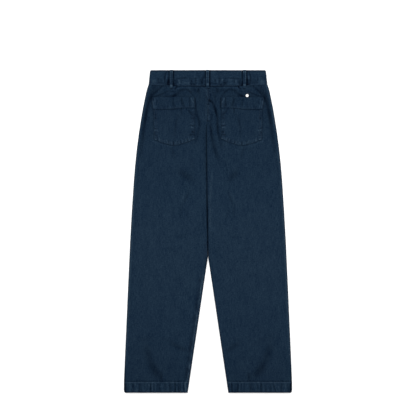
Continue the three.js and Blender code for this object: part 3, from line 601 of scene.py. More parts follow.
def bandShape(x, down):    # height of the waistband's middle layer at the back, and its tone
    away = np.abs(x)
    overLap = lapStep * (1 - smoothStep(38, 70, away))
    crown = bandLook["crown"] * roundRise(halfWidth(down) - away, 30)
    pairHeight, pairTone = foldField(bandFolds, paired(x), down)
    sideHeight, sideTone = foldField(bandOneSided, x, down)
    dabs = dabField(bandDabs, paired(x), down) + dabField(bandPatches, x, down)
    bottom = bandBottom(x)
    beside = np.abs(np.array([x - spot for spot in backLoops.values()])).min(axis=0)
    pulled = bandLook["pull"] * bell(beside - bandLook["besideLoop"], 2.4)
    lumps = 0.25 * ripple(x, down, 13, 22) * smoothStep(0.5, 0.56, down / bottom)
    lumps = lumps + 0.15 * ripple(x, down, 26, 23)
    line = 0.35 * bell(down - bandLook["midLine"], 1.6)
    inset = bandLook["stitchInset"]
    sewn = bandLook["stitchSink"] * (bell(down - inset, 1.3) + bell(down - bottom + inset, 1.3))
    height = bandBackMiddle + overLap + crown + pairHeight + sideHeight - pulled + lumps - line - sewn
    height = height + bandLook["dabHeight"] * np.clip(dabs, -1, 1)

    # Tone: the broad tone, painted shade and highlight of the folds, the dabs, the lumps paler where they rise
    # and darker where they sink (painted light and shade), and darker along the top row of stitches
    tone = lookUp(broadTone, down) + 0.08 + pairTone + sideTone + dabs + 0.3 * lumps - 0.45 * bell(down - 3, 2.6)
    # Shadows beside the loops, the deepest one right of the middle loop
    atMiddle = away < middleLoopReach
    deepest = atMiddle & (x > backLoops["belt_loop_back_center"])
    upper = (away < 116) * (1 - smoothStep(22, 28, down))
    shadow = np.where(atMiddle, np.where(deepest, 1.75, 0.85) + 0.35 * upper, 1 + 0.65 * upper)
    shadow = shadow + 0.5 * smoothStep(24, 32, down) * (away > 125)
    tone -= shadow * bell(beside - np.where(deepest, 6.7, bandLook["besideLoop"]), 2.2)
    # Painted shade in the creases beside the outer loops
    tone -= 0.6 * window(away, 120, 126, 134, 139) * smoothStep(26, 36, down)
    # Painted shade along the band's lower edge, in its middle part
    return height, tone - 0.7 * bell(down - bottom + 0.5, 1.8) * smoothStep(140, 110, away)


def toWorld(x, down, z):
    top = (garment["length"] + garment["loopRise"]) / 2 - garment["loopRise"]
    return np.stack([x, top - down, z], axis=-1) * mm


# Sockets with arithmetic, so that shader maths reads as formulas
class Wire:
    def __init__(self, tree, socket=None):
        self.tree, self.socket = tree, socket

    def make(self, kind, settings=None, inputs=None, out=0):
        node = self.tree.nodes.new(kind)
        for name, value in (settings or {}).items():
            setattr(node, name, value)
        for name, value in (inputs or {}).items():
            if isinstance(value, Wire):
                self.tree.links.new(value.socket, node.inputs[name])
            else:
                node.inputs[name].default_value = value
        return Wire(self.tree, node.outputs[out])

    def math(self, operation, first, second=0.0):
        return self.make("ShaderNodeMath", {"operation": operation}, {0: first, 1: second})

    def __add__(self, other):
        return self.math("ADD", self, other)

    def __radd__(self, other):
        return self.math("ADD", other, self)

    def __sub__(self, other):
        return self.math("SUBTRACT", self, other)

    def __rsub__(self, other):
        return self.math("SUBTRACT", other, self)

    def __mul__(self, other):
        return self.math("MULTIPLY", self, other)

    def __rmul__(self, other):
        return self.math("MULTIPLY", other, self)


denim = {
    # In the dark tone (painted shade), the middle and the pale tone (wear and painted highlight)
    "cloth": [(0.0001, 0.0022, 0.0072), (0.0066, 0.0165, 0.0319), (0.026, 0.0465, 0.068)],
    "specks": [(0.0025, 0.0047, 0.0068), (0.0088, 0.0153, 0.0196), (0.019, 0.027, 0.034)],
    "darkest": (0.0001, 0.0006, 0.0015),
    "grain": 1.55,        # specks of weft, 3 to 4 mm
    "slub": 1.65,         # uneven warp threads, long and thin
    "weft": 0.8,          # uneven weft threads, short and level
    "streak": 0.5,        # bundles of warp that took the dye unevenly
    "mottle": 0.45,       # soft patches from the wash
    "twill": 0.1,         # the fine diagonal ribs
    "twillPitch": 1.15,
    "deepest": 1.62,      # tone of the deepest painted shade, in a nearly black crease
    "bump": 0.35,
    "roughness": 0.93,
    "sheen": 0.03,        # specular level, cloth hardly shines
}
# Size across and along the legs in mm, detail, and a shift that makes each pattern differ
unevenness = {
    "grain": (3.4, 4.2, 3.0, 11.0),
    "slub": (1.3, 15, 3.0, 47.0),
    "streak": (7, 45, 2.0, 29.0),
    "weft": (10, 1.2, 2.0, 83.0),
    "mottle": (24, 55, 3.0, 5.0),
}


def clearTree(material):
    material.use_nodes = True
    material.node_tree.nodes.clear()
    return Wire(material.node_tree)


def shade(tree, sockets):    # the Principled shader and the output that end a material
    shader = tree.tree.nodes.new("ShaderNodeBsdfPrincipled")
    for name, value in sockets.items():
        if isinstance(value, Wire):
            tree.tree.links.new(value.socket, shader.inputs[name])
        else:
            shader.inputs[name].default_value = value
    output = tree.tree.nodes.new("ShaderNodeOutputMaterial")
    tree.tree.links.new(shader.outputs[0], output.inputs[0])


def denimMaterial(name, brightness=1.0):
    material = bpy.data.materials.new(name)
    tree = clearTree(material)
    weave = tree.make("ShaderNodeUVMap", {"uv_map": "weave"})
    # The tone that the pieces carry: wear, painted shade and painted highlight
    tone = tree.make("ShaderNodeAttribute", {"attribute_name": "fade"}, out="Fac")
    across = tree.make("ShaderNodeSeparateXYZ", inputs={0: weave})
    along = Wire(tree.tree, across.socket.node.outputs[1])

    def noise(kind):    # about -0.5 to 0.5
        sizeAcross, sizeAlong, detail, shift = unevenness[kind]
        spot = tree.make("ShaderNodeCombineXYZ", inputs={
            0: across * (1 / (sizeAcross * mm)) + shift, 1: along * (1 / (sizeAlong * mm)), 2: shift})
        return tree.make("ShaderNodeTexNoise", {"noise_dimensions": "2D"}, {
            "Vector": spot, "Scale": 1.0, "Detail": detail, "Roughness": 0.6}, out="Fac") - 0.5

    grain, slub, streak = noise("grain"), noise("slub"), noise("streak")
    weft, mottle = noise("weft"), noise("mottle")
    pitch = 2 * math.pi / (denim["twillPitch"] * mm)
    ridges = tree.math("SINE", across * (0.52 * pitch) + along * (0.85 * pitch))
    uneven = grain * denim["grain"] + slub * denim["slub"] + weft * denim["weft"]
    uneven = uneven + streak * denim["streak"] + mottle * denim["mottle"] + ridges * denim["twill"]

    # Tone 0 is plain cloth, 1 as pale as a worn edge and the brightest painted highlights, and the deepest
    # painted shade in a crease is nearly black
    up = tree.make("ShaderNodeClamp", inputs={0: tone, 1: 0.0, 2: 1.0})
    downward = tree.make("ShaderNodeClamp", inputs={0: tone * (-1 / denim["deepest"]), 1: 0.0, 2: 1.0})

    def blend(factor, first, second):
        return tree.make("ShaderNodeMix", {"data_type": "RGBA"}, {"Factor": factor, 6: first, 7: second}, out=2)

    def byTone(colours):
        dark, middle, pale = [tuple(c * brightness for c in colour) + (1,) for colour in colours]
        return blend(downward, blend(up, middle, pale), dark)

    colour = tree.make("ShaderNodeVectorMath", {"operation": "MULTIPLY_ADD"}, {
        0: byTone(denim["specks"]), 1: uneven, 2: byTone(denim["cloth"])})
    colour = tree.make("ShaderNodeVectorMath", {"operation": "MAXIMUM"}, {0: colour, 1: denim["darkest"]})
    relief = grain * 0.5 + slub * 0.5 + weft * 0.3 + ridges * 0.12
    normal = tree.make("ShaderNodeBump", inputs={
        "Strength": denim["bump"], "Distance": 0.5 * mm, "Height": relief})
    shade(tree, {
        "Base Color": colour, "Roughness": denim["roughness"] - up * 0.1, "Normal": normal,
        "Specular IOR Level": denim["sheen"],
    })
    return material


def plainMaterial(name, colour, roughness, speck, coat=0.0, **more):    # even, but for a faint cloudiness
    material = bpy.data.materials.new(name)
    tree = clearTree(material)
    place = tree.make("ShaderNodeTexCoord", out="Object")
    cloud = tree.make("ShaderNodeTexNoise", inputs={"Vector": place, "Scale": 900.0, "Detail": 2.0}, out="Fac")
    cloud = cloud - 0.5
    light = tuple(min(1, c * (1 + speck)) for c in colour) + (1,)
    dark = tuple(c * (1 - speck) for c in colour) + (1,)
    colour = tree.make("ShaderNodeMix", {"data_type": "RGBA"}, {
        "Factor": cloud + 0.5, 6: dark, 7: light}, out=2)
    shade(tree, {"Base Color": colour, "Roughness": roughness + cloud * 0.05, "Coat Weight": coat, **more})
    return material


denimCloth = denimMaterial("indigoDenim")
# The same denim made a tenth darker, as painted shade, for the front pieces that lie under the back ones
denimShadedCopy = denimMaterial("indigoDenimShaded", 0.9)
threadTone = plainMaterial("indigoThread", (0.0048, 0.0138, 0.0285), 0.9, 0.25)
whiteButton = plainMaterial("whiteButton", (0.72, 0.72, 0.71), 0.35, 0.01, 0.3)
darkButton = plainMaterial("darkButton", (0.02, 0.024, 0.03), 0.35, 0.05, 0.3)
print("materials made")


def added(name, data):    # a new object in the scene
    item = bpy.data.objects.new(name, data)
    bpy.context.collection.objects.link(item)
    return item


def smoothShading(mesh, sharpFrom=None):    # smooth, but for edges steeper than this many degrees
    mesh.polygons.foreach_set("use_smooth", np.ones(len(mesh.polygons), dtype=bool))
    if sharpFrom:
        mesh.set_sharp_from_angle(angle=math.radians(sharpFrom))


def threads(x, down):    # where the weave lies on the cloth, for its own UV map
    return np.stack([x, down], axis=-1) * mm


# A closed wall between an outer and an inner grid of points; the weave and the wear and painted shade are given
# for the outer one
def shell(name, outer, inner, weave, fade, material):
    rows, columns = outer.shape[:2]
    ids = np.arange(rows * columns).reshape(rows, columns)
    below = ids + rows * columns

    def quads(a, b, c, d):
        return np.stack([a.ravel(), b.ravel(), c.ravel(), d.ravel()], axis=1)

    faces = np.concatenate([
        quads(ids[:-1, :-1], ids[1:, :-1], ids[1:, 1:], ids[:-1, 1:]),
        quads(below[:-1, :-1], below[:-1, 1:], below[1:, 1:], below[1:, :-1]),
        quads(ids[0, :-1], ids[0, 1:], below[0, 1:], below[0, :-1]),
        quads(ids[-1, 1:], ids[-1, :-1], below[-1, :-1], below[-1, 1:]),
        quads(ids[1:, 0], ids[:-1, 0], below[:-1, 0], below[1:, 0]),
        quads(ids[:-1, -1], ids[1:, -1], below[1:, -1], below[:-1, -1]),
    ])
    points = np.concatenate([outer.reshape(-1, 3), inner.reshape(-1, 3)])
    corners = [points[faces[:, k]] for k in range(4)]
    volume = (corners[0] * (np.cross(corners[1], corners[2]) + np.cross(corners[2], corners[3]))).sum()
    if volume < 0:    # turn the faces outwards
        faces = faces[:, ::-1]
    mesh = bpy.data.meshes.new(name)
    mesh.vertices.add(len(points))
    mesh.vertices.foreach_set("co", points.ravel())
    mesh.loops.add(faces.size)
    mesh.loops.foreach_set("vertex_index", faces.ravel().astype(np.int32))
    mesh.polygons.add(len(faces))
    mesh.polygons.foreach_set("loop_start", np.arange(0, faces.size, 4, dtype=np.int32))
    mesh.update(calc_edges=True)
    mesh.validate()
    pattern = np.concatenate([weave.reshape(-1, 2)] * 2)
    layer = mesh.uv_layers.new(name="weave")
    order = np.zeros(len(mesh.loops), dtype=np.int32)
    mesh.loops.foreach_get("vertex_index", order)
    layer.data.foreach_set("uv", pattern[order].ravel().astype(np.float32))
    wornAndShaded = mesh.attributes.new("fade", "FLOAT", "POINT")
    wornAndShaded.data.foreach_set("value", np.concatenate([fade.ravel()] * 2).astype(np.float32))
    smoothShading(mesh, 40)
    mesh.materials.append(material)
    return added(name, mesh)


def belongs(piece, slotName, *nodes):
    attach(piece, "root")
    if nodes:
        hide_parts(*nodes)


# Back panels, each with its turned-up hem
backPanel = {
    "columns": 128, "seatStep": 1.8, "legStep": 4.2, "hemStep": 1.4,
    "top": bandEdge["middle"] - bandEdge["sideRise"] + garment["seamGap"],    # at the sides
    "straight": 90,       # from here down the rows are level
    "seatEnd": 270, "hemStart": 1000,    # the rows are closer above and below these
    "flat": (0.28, 1.01), "area": 0.238,
}


def crowded(count, pull):    # shares from 0 to 1, closer together at both ends
    even = np.linspace(0, 1, count)
    return (1 - pull) * even + pull * (0.5 - 0.5 * np.cos(np.pi * even))


def panelGrid(side):
    downs = np.concatenate([
        np.arange(backPanel["top"], backPanel["seatEnd"], backPanel["seatStep"]),
        np.arange(backPanel["seatEnd"], backPanel["hemStart"], backPanel["legStep"]),
        np.arange(backPanel["hemStart"], garment["length"] - 1, backPanel["hemStep"]),
        [garment["length"] - 0.6, garment["length"]],
    ])
    share = crowded(backPanel["columns"], 0.35)
    down = np.repeat(downs[:, None], len(share), axis=1)
    bend = 1 - smoothStep(backPanel["top"], backPanel["straight"], downs[:, None])

    def spread():
        inner, outer = innerEdge(side, down), side * halfWidth(down)
        return inner + (outer - inner) * share[None, :]

    for _ in range(2):    # the rows bend to follow the waistband's lower edge
        down = downs[:, None] + (bandBottom(spread()) + garment["seamGap"] - backPanel["top"]) * bend
    return spread(), down


for side, word in sides.items():
    x, down = panelGrid(side)
    z, fade = panelShape(side, x, down)
    fromEdge = np.minimum(halfWidth(down) - np.abs(x), np.abs(x - innerEdge(side, down)))
    fromEdge = np.minimum(fromEdge, garment["length"] - down)
    bottom = z - wall["panel"]
    top = bottom + wall["panel"] * (0.45 + 0.55 * roundRise(fromEdge, 2.5))
    upper, lower = toWorld(x, down, top), toWorld(x, down, bottom)
    piece = shell("back" + word, upper, lower, threads(x, down), fade, denimCloth)
    belongs(piece, "denim", "back_" + word.lower())
print("back panels made")

# Front panels, plain, flat on the floor
frontPanel = {
    "columns": 60,
    "top": 45,
    "seamShift": 1.5,     # how far the front seam lies beside the seat seam
    "weaveShift": 0.6,    # the cloth's pattern differs from the back panel's
    "flat": (0.28, 1.01), "area": 0.236,
}
for side, word in sides.items():
    downs = np.concatenate([
        np.linspace(frontPanel["top"], 130, 40),
        np.linspace(132, 1040, 180),
        np.linspace(1042, garment["length"], 10),
    ])
    share = crowded(frontPanel["columns"], 0.6)
    down = np.repeat(downs[:, None], len(share), axis=1)
    for _ in range(2):
        inner = innerEdge(side, down) + frontPanel["seamShift"] * (1 - smoothStep(540, 602, down))
        outer = side * halfWidth(down)
        x = inner + (outer - inner) * share[None, :]
        corner = 1.2 * smoothStep(184, 191, np.abs(x))
        down = downs[:, None] + corner * (1 - smoothStep(frontPanel["top"], 60, downs[:, None]))
    fromEdge = np.minimum(halfWidth(down) - np.abs(x), np.abs(x - inner))
    fromEdge = np.minimum(fromEdge, garment["length"] - down)
    tuck = 0.9 * (1 - roundRise(fromEdge, 3))
    base = lift(down)
    fade = 0.15 * bell(fromEdge, 3) + 0.3 * bell(down - hem["stitchDown"], 1.8)
    upper, lower = toWorld(x, down, base + wall["front"]), toWorld(x, down, base + tuck)
    piece = shell("front" + word, upper, lower, threads(x + frontPanel["weaveShift"], down), fade, denimShadedCopy)
    belongs(piece, "denim", "front_" + word.lower())
print("front panels made")

# Back pockets
pocket = {
    "columns": 112, "rows": 128,
    "depth": 150,         # roughly; the rows are then fitted to the lower edge
    "weaveShift": 3.7,    # the cloth's pattern differs from the panel's under it
    "flat": (0.142, 0.159), "area": 0.0203,
}
for side, word in sides.items():
    rowShare = np.linspace(0, 1, pocket["rows"])
    columnShare = np.linspace(0, 1, pocket["columns"])
    down = np.repeat(rowShare[:, None] * pocket["depth"] + pocketTop, pocket["columns"], axis=1)
    for _ in range(4):
        near, far = side * lookUp(pocketInner, down), side * lookUp(pocketOuter, down)
        x = near + (far - near) * columnShare[None, :]
        down = pocketTop + (lookUp(pocketBottom, np.abs(x)) - pocketTop) * rowShare[:, None]
    z, fade = pocketShape(side, x, down)
    base = panelShape(side, x, down)[0] + garment["seamGap"] * 0.6
    weave = threads(x + pocket["weaveShift"], down)
    piece = shell("pocket" + word, toWorld(x, down, z), toWorld(x, down, base), weave, fade, denimCloth)
    belongs(piece, "denim", "back_pocket_" + word.lower())
print("pockets made")

# Waistband: one strip folded flat round both sides, its ends lapped at centre front
band = {
    "backStations": 250, "turnStations": 9, "rows": 36,
    "lapUnder": 20, "lapOver": -20,    # where the strip's two ends lie
    "frontFrom": 42, "frontTo": 180,   # the level part of the front layer
    "frontRise": 1.9,                  # its lower edge is this much higher than the back's
    "turnFade": 0.12,                  # wear along the folds at the sides
    "flat": (0.81, 0.053), "area": 0.0395,
}


def bandStations(share):    # x, z, outward x, outward z, and the wear and painted shade of one row round the folded strip
    down = share * bandBottom(bandEdge["side"])
    turnRadius = (bandBackMiddle - bandFrontMiddle) / 2
    turnX = halfWidth(down) - wall["band"] / 2 - turnRadius
    angle = np.linspace(0, math.pi, band["turnStations"])
    reach, drop = np.sin(angle), np.cos(angle)
    turnFade = band["turnFade"] + 0 * reach
    under = np.linspace(band["lapUnder"], band["lapOver"] - 2, 6)
    frontLeft = np.linspace(-band["frontFrom"], -band["frontTo"], 24)
    back = np.linspace(-turnX, turnX, band["backStations"])[1:-1]
    frontRight = np.linspace(band["frontTo"], band["lapOver"], 30)
    height, wornAndShaded = bandShape(back, share * bandBottom(back))

    def flat(x, z, outZ, fade):
        return np.stack([x, z + 0 * x, 0 * x, outZ + 0 * x, fade + 0 * x])

    return np.concatenate([
        flat(under, bandFrontMiddle + lapStep, -1, 0),
        flat(frontLeft, bandFrontMiddle, -1, 0),
        [-turnX - turnRadius * reach, bandFrontMiddle + turnRadius * (1 - drop), -reach, -drop, turnFade],
        flat(back, height, 1, wornAndShaded),
        [turnX + turnRadius * reach, bandBackMiddle - turnRadius * (1 - drop), reach, drop, turnFade],
        flat(frontRight, bandFrontMiddle, -1, 0),
    ], axis=1)


outer, inner, weave, wearAndShadeRows = [], [], [], []
for share in crowded(band["rows"], 0.5):
    x, z, outX, outZ, wornAndShaded = bandStations(share)
    frontBottom = bandBottom(bandEdge["side"]) - band["frontRise"] * (0.5 - 0.5 * outZ)
    high = np.where(outZ > 0.5, bandBottom(x), frontBottom)
    down = share * high
    fromEdge = np.minimum(down, high - down)
    half = wall["band"] / 2 * (0.35 + 0.65 * roundRise(fromEdge, 1.8))
    outer.append(toWorld(x + outX * half, down, z + outZ * half))
    inner.append(toWorld(x - outX * half, down, z - outZ * half))
    run = np.concatenate([[0], np.cumsum(np.hypot(np.diff(x), np.diff(z)))])
    weave.append(threads(down, run))
    wearAndShadeRows.append(wornAndShaded)
piece = shell("waistBand", np.array(outer), np.array(inner), np.array(weave), np.array(wearAndShadeRows), denimCloth)
belongs(piece, "denim", "waistband")
print("waistband made")

# Belt loops
loopLook = {
    "rows": 60, "columns": 15, "flat": (0.0102, 0.06),
    "tuck": 1.3,          # the top end turns down over the waist edge
    # How far down each loop's bar tack lies
    "tacks": {"belt_loop_back_left": 51, "belt_loop_back_center": 46.5, "belt_loop_back_right": 48.5},
    "frontRows": 30, "frontColumns": 11, "frontTop": 1, "frontEnd": 51, "frontFlat": (0.0102, 0.05),
}


def loopSeat(across, down):    # the highest cloth under a loop
    offsets = np.linspace(-0.5, 0.5, 5) * loop["width"]
    x = across + offsets[None, :] + 0 * down[:, None]
    deep = down[:, None] + 0 * x
    overBand = bandShape(x, np.clip(deep, 0, None))[0] + wall["band"] / 2
    onPanel = panelShape(1 if across > 0 else -1, x, deep)[0]
    share = smoothStep(bandBottom(x) + 0.6, bandBottom(x) + 3, deep)
    height = np.where(deep < bandBottom(x) + 0.6, overBand, onPanel + (overBand - onPanel) * (1 - share))
    return height.max(axis=1)


def loopGrid(across, top, end, rows, columns):    # share across the strip from -0.5 to 0.5, x and down
    offset = np.linspace(-0.5, 0.5, columns)[None, :]
    down = np.repeat(np.linspace(top, end, rows)[:, None], columns, axis=1)
    return offset, across + offset * loop["width"] + 0 * down, down


def loopPiece(node, x, down, top, bottom, fade, material):
    pieceName = "loop" + "".join(part.capitalize() for part in node.split("_")[2:])
    weave = threads(x, down)
    piece = shell(pieceName, toWorld(x, down, top), toWorld(x, down, bottom), weave, fade, material)
    belongs(piece, "denim", node)


for node, across in backLoops.items():
    top, columns = -garment["loopRise"], loopLook["columns"]
    offset, x, down = loopGrid(across, top, loop["end"], loopLook["rows"], columns)
    base = loopSeat(across, np.maximum(down[:, 0], 0))[:, None] + garment["seamGap"] + 0 * x
    base = base - loopLook["tuck"] * (1 - smoothStep(top, 1.6, down))
    ridge = bell(np.abs(offset) - 0.34, 0.13)    # the strip's folded edges stand up and are worn pale
    rim = 0.25 + 0.75 * roundRise((0.5 - np.abs(offset)) * loop["width"], 1.4)
    ends = 0.4 + 0.6 * roundRise(np.minimum(down - top, loop["end"] - down), 1.6)
    lumps = 0.18 * np.cos(2 * np.pi * down / 7.2) + 0.1 * ripple(x, down, 9, 41)
    tack = bell(down - loopLook["tacks"][node], 3.6)
    z = base + (wall["loop"] * (0.8 + 0.35 * ridge) + lumps + 0.3 * tack) * rim * ends

    middle, outward = abs(across) < middleLoopReach, offset * across > 0
    kept = 1 if middle else np.where(outward, 1, 1 - 0.75 * smoothStep(8, 16, down))
    # Tone: the folded edges pale with wear, less on the inner side of the outer loops; the lumps paler where
    # they rise and darker where they sink, partly wear and partly painted light and shade; the bar tack, the
    # lower end and the top end paler
    fade = 0.85 * ridge * kept * (1 - smoothStep(38, 44, down)) * (0.85 + lumps) - 0.3 + 0.2 * lumps
    fade += 1.25 * tack * bell(offset, 0.46) + 0.4 * bell(down - 56, 2)
    fade += (0.5 if middle else 0.3) * (1 - smoothStep(4, 9, down))
    # The middle loop gets a darker band across it, the left loop painted shade on its inner edge, the right
    # loop a painted highlight on its outer edge
    if middle:
        fade -= 0.4 * bell(down - 38, 3.2)
    elif across < 0:
        fade -= 0.45 * window(down, 10, 34, 46, 52) * bell(offset - 0.4, 0.22)
    else:
        fade += 0.3 * (1 - smoothStep(22, 30, down)) * bell(offset - 0.36, 0.16)
    loopPiece(node, x, down, z, base, fade, denimCloth)

for node, across in frontLoops.items():
    top, end = loopLook["frontTop"], loopLook["frontEnd"]
    offset, x, down = loopGrid(across, top, end, loopLook["frontRows"], loopLook["frontColumns"])
    rim = roundRise((0.5 - np.abs(offset)) * loop["width"], 1.2)
    upper = garment["frontLift"] - garment["seamGap"] + 0 * x
    loopPiece(node, x, down, upper, 0.6 * (1 - rim) + 0 * x, 0 * x, denimShadedCopy)
print("belt loops made")


# Buttons, turned from a profile of radius and height
def turned(name, profile, middle, material, steps=64):
    angles = np.linspace(0, 2 * np.pi, steps, endpoint=False)
    points, faces = [], []
    for radius, height in profile[1:-1]:
        points += [(radius * math.cos(a), radius * math.sin(a), height) for a in angles]
    rings = len(profile) - 2
    points += [(0, 0, profile[0][1]), (0, 0, profile[-1][1])]
    for ring in range(rings - 1):
        for k in range(steps):
            a, b = ring * steps + k, ring * steps + (k + 1) % steps
            faces.append((a, b, b + steps, a + steps))
    for k in range(steps):
        faces.append((len(points) - 2, (k + 1) % steps, k))
        top = (rings - 1) * steps
        faces.append((len(points) - 1, top + k, top + (k + 1) % steps))
    mesh = bpy.data.meshes.new(name)
    mesh.from_pydata([tuple(np.array(p) * mm + middle) for p in points], [], faces)
    smoothShading(mesh, 50)
    mesh.materials.append(material)
    return added(name, mesh)


around = np.linspace(0, 2 * np.pi, 24)
footX = button["across"] + button["foot"] * np.cos(around)
footDown = button["down"] + button["foot"] * np.sin(around)
buttonHigh = panelShape(1, footX, footDown)[0].max() - button["sink"]
buttonSpot = toWorld(np.array(button["across"]), np.array(button["down"]), np.array(buttonHigh))
dome = [
    (0, 0), (4.2, 0), (4.65, 0.4), (4.8, 0.9), (4.75, 1.4), (4.5, 1.8), (4.2, 2.0), (3.7, 1.95), (3.2, 1.72),
    (2.2, 1.6), (1.1, 1.56), (0, 1.55),
]
piece = turned("whiteRoundButton", dome, buttonSpot, whiteButton)
belongs(piece, "white_button", "back_button")
low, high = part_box("waist_button")
waistSpot = np.array([(low[0] + high[0]) / 2, (low[1] + high[1]) / 2, low[2]])
stud = [
    (0, 0.45), (4.5, 0.45), (5.6, 0.25), (6.4, 0), (7.4, 0), (8.2, 0.35), (8.5, 0.9), (8.3, 1.4), (7.6, 1.75),
    (3, 1.9), (0, 1.9),
]
piece = turned("waistButton", stud, waistSpot, darkButton)
belongs(piece, "dark_button", "waist_button")
print("buttons made")

# Rows of stitches: routes over the cloth, turned into threads by one tree
stitch = {
    "pitch": 3.1, "length": 2.5, "thickness": 0.62, "sink": 0.08, "seed": 7,
    "besideSeat": {-1: 1.8, 1: 2.2},    # how far the rows lie from the seat seam
}


def stitchTree(material):
    tree = bpy.data.node_groups.new("stitchRows", "GeometryNodeTree")
    face = tree.interface
    face.new_socket("Geometry", in_out="INPUT", socket_type="NodeSocketGeometry")
    for name in ("Pitch", "Length", "Thickness"):
        face.new_socket(name, in_out="INPUT", socket_type="NodeSocketFloat")
    face.new_socket("Seed", in_out="INPUT", socket_type="NodeSocketInt")
    face.new_socket("Geometry", in_out="OUTPUT", socket_type="NodeSocketGeometry")
    w = Wire(tree)
    start = tree.nodes.new("NodeGroupInput")

    def given(name):
        return Wire(tree, start.outputs[name])

    curve = w.make("GeometryNodeMeshToCurve", inputs={"Mesh": given("Geometry")})
    spaced = w.make("GeometryNodeResampleCurve", {"mode": "LENGTH"}, {"Curve": curve, "Length": given("Pitch")})
    thread = w.make("GeometryNodeMeshUVSphere", inputs={"Segments": 6, "Rings": 5, "Radius": 0.5})
    size = w.make("ShaderNodeCombineXYZ", inputs={
        0: given("Thickness"), 1: given("Thickness"), 2: given("Length")})
    shaped = w.make("GeometryNodeTransform", inputs={"Geometry": thread, "Scale": size})
    tangent = w.make("GeometryNodeInputTangent")
    lean = w.make("FunctionNodeRandomValue", {"data_type": "FLOAT_VECTOR"}, {
        0: (-0.07, -0.07, -0.03), 1: (0.07, 0.07, 0.03), "Seed": given("Seed")})
    leaning = w.make("ShaderNodeVectorMath", {"operation": "ADD"}, {0: tangent, 1: lean})
    turn = w.make("FunctionNodeAlignRotationToVector", {"axis": "Z"}, {"Vector": leaning})
    placed = w.make("GeometryNodeInstanceOnPoints", inputs={
        "Points": spaced, "Instance": shaped, "Rotation": turn})
    whole = w.make("GeometryNodeRealizeInstances", inputs={0: placed})
    done = w.make("GeometryNodeSetMaterial", inputs={"Geometry": whole, "Material": material})
    end = tree.nodes.new("NodeGroupOutput")
    tree.links.new(done.socket, end.inputs[0])
    return tree


def surfaceAt(kind, side, x, down):
    if kind == "panel":
        return panelShape(side, x, down)[0]
    if kind == "pocket":
        return pocketShape(side, x, down)[0]
    return bandShape(x, down)[0] + wall["band"] / 2


def route(kind, side, x, down, step=3.0):    # a row of points every few millimetres along a line on the cloth
    x, down = np.asarray(x, float), np.asarray(down, float)
    run = np.concatenate([[0], np.cumsum(np.hypot(np.diff(x), np.diff(down)))])
    places = np.linspace(0, run[-1], max(2, int(run[-1] / step)))
    x, down = np.interp(places, run, x), np.interp(places, run, down)
    z = surfaceAt(kind, side, x, down) - stitch["sink"]
    return toWorld(x, down, z)


def roundPocket(side, inset):    # down one side of a pocket, along its bottom and up the other side
    sideDown = np.linspace(131, 222, 30)
    bottomX = np.linspace(pocketInner[-1, 1] + inset, pocketOuter[-1, 1] - inset, 60)
    bottomDown = lookUp(pocketBottom, bottomX) - inset
    near, far = lookUp(pocketInner, sideDown) + inset, lookUp(pocketOuter, sideDown) - inset
    nearDown, farDown = np.minimum(sideDown, bottomDown[0] - 0.5), np.minimum(sideDown, bottomDown[-1] - 0.5)
    down = np.concatenate([nearDown, bottomDown, farDown[::-1]])
    return route("pocket", side, side * np.concatenate([near, bottomX, far[::-1]]), down)


routes = []
seatDown = np.linspace(56, 165, 60)
for side in sides:
    deep = np.full(60, hem["stitchDown"])
    inner, outer = innerEdge(side, deep), side * halfWidth(deep)
    routes.append(route("panel", side, inner + (outer - inner) * np.linspace(0.02, 0.98, 60), deep))
    for inset in pocketLook["stitchInset"]:
        routes.append(roundPocket(side, inset))
    mouth = np.linspace(47, 177, 40)
    routes.append(route("pocket", side, side * mouth, lookUp(pocketHemEdge, mouth) - 3))
    deep = np.linspace(92, 118, 10)
    for inset in (1.8, 8.2):    # the two ends of the pocket's turned hem
        routes.append(route("pocket", side, side * (lookUp(pocketInner, deep) + inset), deep))
        routes.append(route("pocket", side, side * (lookUp(pocketOuter, deep) - inset), deep))
    beside = lookUp(seatSeam, seatDown) + side * stitch["besideSeat"][side]
    routes.append(route("panel", side, beside, seatDown))
routes.append(route("panel", -1, lookUp(seatSeam, seatDown) - 7.5, seatDown))
deep = np.linspace(560, hem["stitchDown"], 120)
for inset in (4.5, 9.5):    # the left inner leg
    routes.append(route("panel", -1, innerEdge(-1, deep) - inset, deep))
for low, high in ((-186, -127), (-112, -8), (7, 112), (127, 186)):    # the waistband, between its loops
    x = np.linspace(low, high, 40)
    routes.append(route("band", 1, x, bandLook["stitchInset"] + 0 * x))
    routes.append(route("band", 1, x, bandBottom(x) - bandLook["stitchInset"]))
print("stitch routes:", len(routes))

points, edges = [], []
for line in routes:
    first = len(points)
    points += [tuple(p) for p in line]
    edges += [(first + k, first + k + 1) for k in range(len(line) - 1)]
guideMesh = bpy.data.meshes.new("stitchRoutes")
guideMesh.from_pydata(points, edges, [])
guide = added("stitchRoutes", guideMesh)
tree = stitchTree(threadTone)
modifier = guide.modifiers.new("stitches", "NODES")
modifier.node_group = tree
values = {
    "Pitch": stitch["pitch"] * mm, "Length": stitch["length"] * mm,
    "Thickness": stitch["thickness"] * mm, "Seed": stitch["seed"],
}
for item in tree.interface.items_tree:
    if item.in_out == "INPUT" and item.name in values:
        modifier[item.identifier] = values[item.name]
bpy.context.view_layer.update()
graph = bpy.context.evaluated_depsgraph_get()
sewn = bpy.data.meshes.new_from_object(guide.evaluated_get(graph), depsgraph=graph)
sewn.name = "stitching"
bpy.data.objects.remove(guide)
smoothShading(sewn)
belongs(added("stitching", sewn), "denim")
print("stitches made:", len(sewn.polygons), "faces")

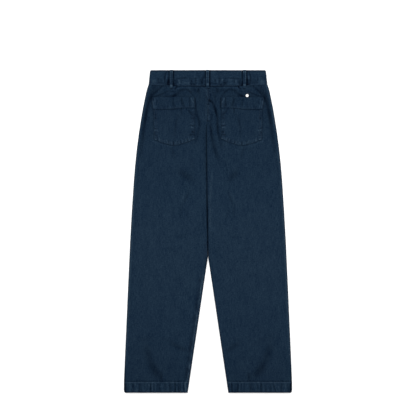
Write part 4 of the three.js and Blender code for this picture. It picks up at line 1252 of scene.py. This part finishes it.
# Floor, light and camera
stage = {
    "floor": 0.92, "floorSize": 6, "floorGlow": 0.12, "worldLight": 1.0,
    "keyPower": 60, "keySize": (2.6, 0.8), "keyPlace": (0, 2.3, 2.1),
    "sidePower": 10, "sideSize": (0.8, 2.0), "sidePlace": (2.4, 0.1, 1.2),
    # The camera looks straight down and frames the garment as the photo does
    "cameraHeight": 6.0, "sensor": 36, "millimetresPerPixel": 3.26, "frame": 416, "garmentMiddleRow": 231.35,
}
floorMesh = bpy.data.meshes.new("floor")
reach = stage["floorSize"]
corners = [(-reach, -reach, 0), (reach, -reach, 0), (reach, reach, 0), (-reach, reach, 0)]
floorMesh.from_pydata(corners, [], [(0, 1, 2, 3)])
glow = {"Emission Color": (1, 1, 1, 1), "Emission Strength": stage["floorGlow"]}
floorMesh.materials.append(plainMaterial("paleFloor", (stage["floor"],) * 3, 0.9, 0.004, **glow))
added("floor", floorMesh)

world = bpy.data.worlds.new("studio")
world.use_nodes = True
background = world.node_tree.nodes["Background"]
background.inputs[0].default_value = (1, 1, 1, 1)
background.inputs[1].default_value = stage["worldLight"]
bpy.context.scene.world = world


def areaLight(name, place, power, size):
    data = bpy.data.lights.new(name, "AREA")
    data.shape, data.size, data.size_y, data.energy = "RECTANGLE", size[0], size[1], power
    lamp = added(name, data)
    lamp.location = place
    lamp.rotation_mode = "QUATERNION"
    lamp.rotation_quaternion = (-Vector(place)).to_track_quat("-Z", "Y")


areaLight("keyLight", stage["keyPlace"], stage["keyPower"], stage["keySize"])
for side, word in sides.items():
    spot = (side * stage["sidePlace"][0],) + stage["sidePlace"][1:]
    areaLight("sideLight" + word, spot, stage["sidePower"], stage["sideSize"])

camera = added("camera", bpy.data.cameras.new("camera"))
wide = stage["frame"] * stage["millimetresPerPixel"] * mm
middleY = (stage["garmentMiddleRow"] - stage["frame"] / 2) * stage["millimetresPerPixel"] * mm
camera.location = (0, middleY, stage["cameraHeight"])
camera.data.sensor_width = stage["sensor"]
camera.data.lens = stage["sensor"] * stage["cameraHeight"] / wide
bpy.context.scene.camera = camera
bpy.context.scene.view_settings.view_transform = "Standard"
print("stage made")
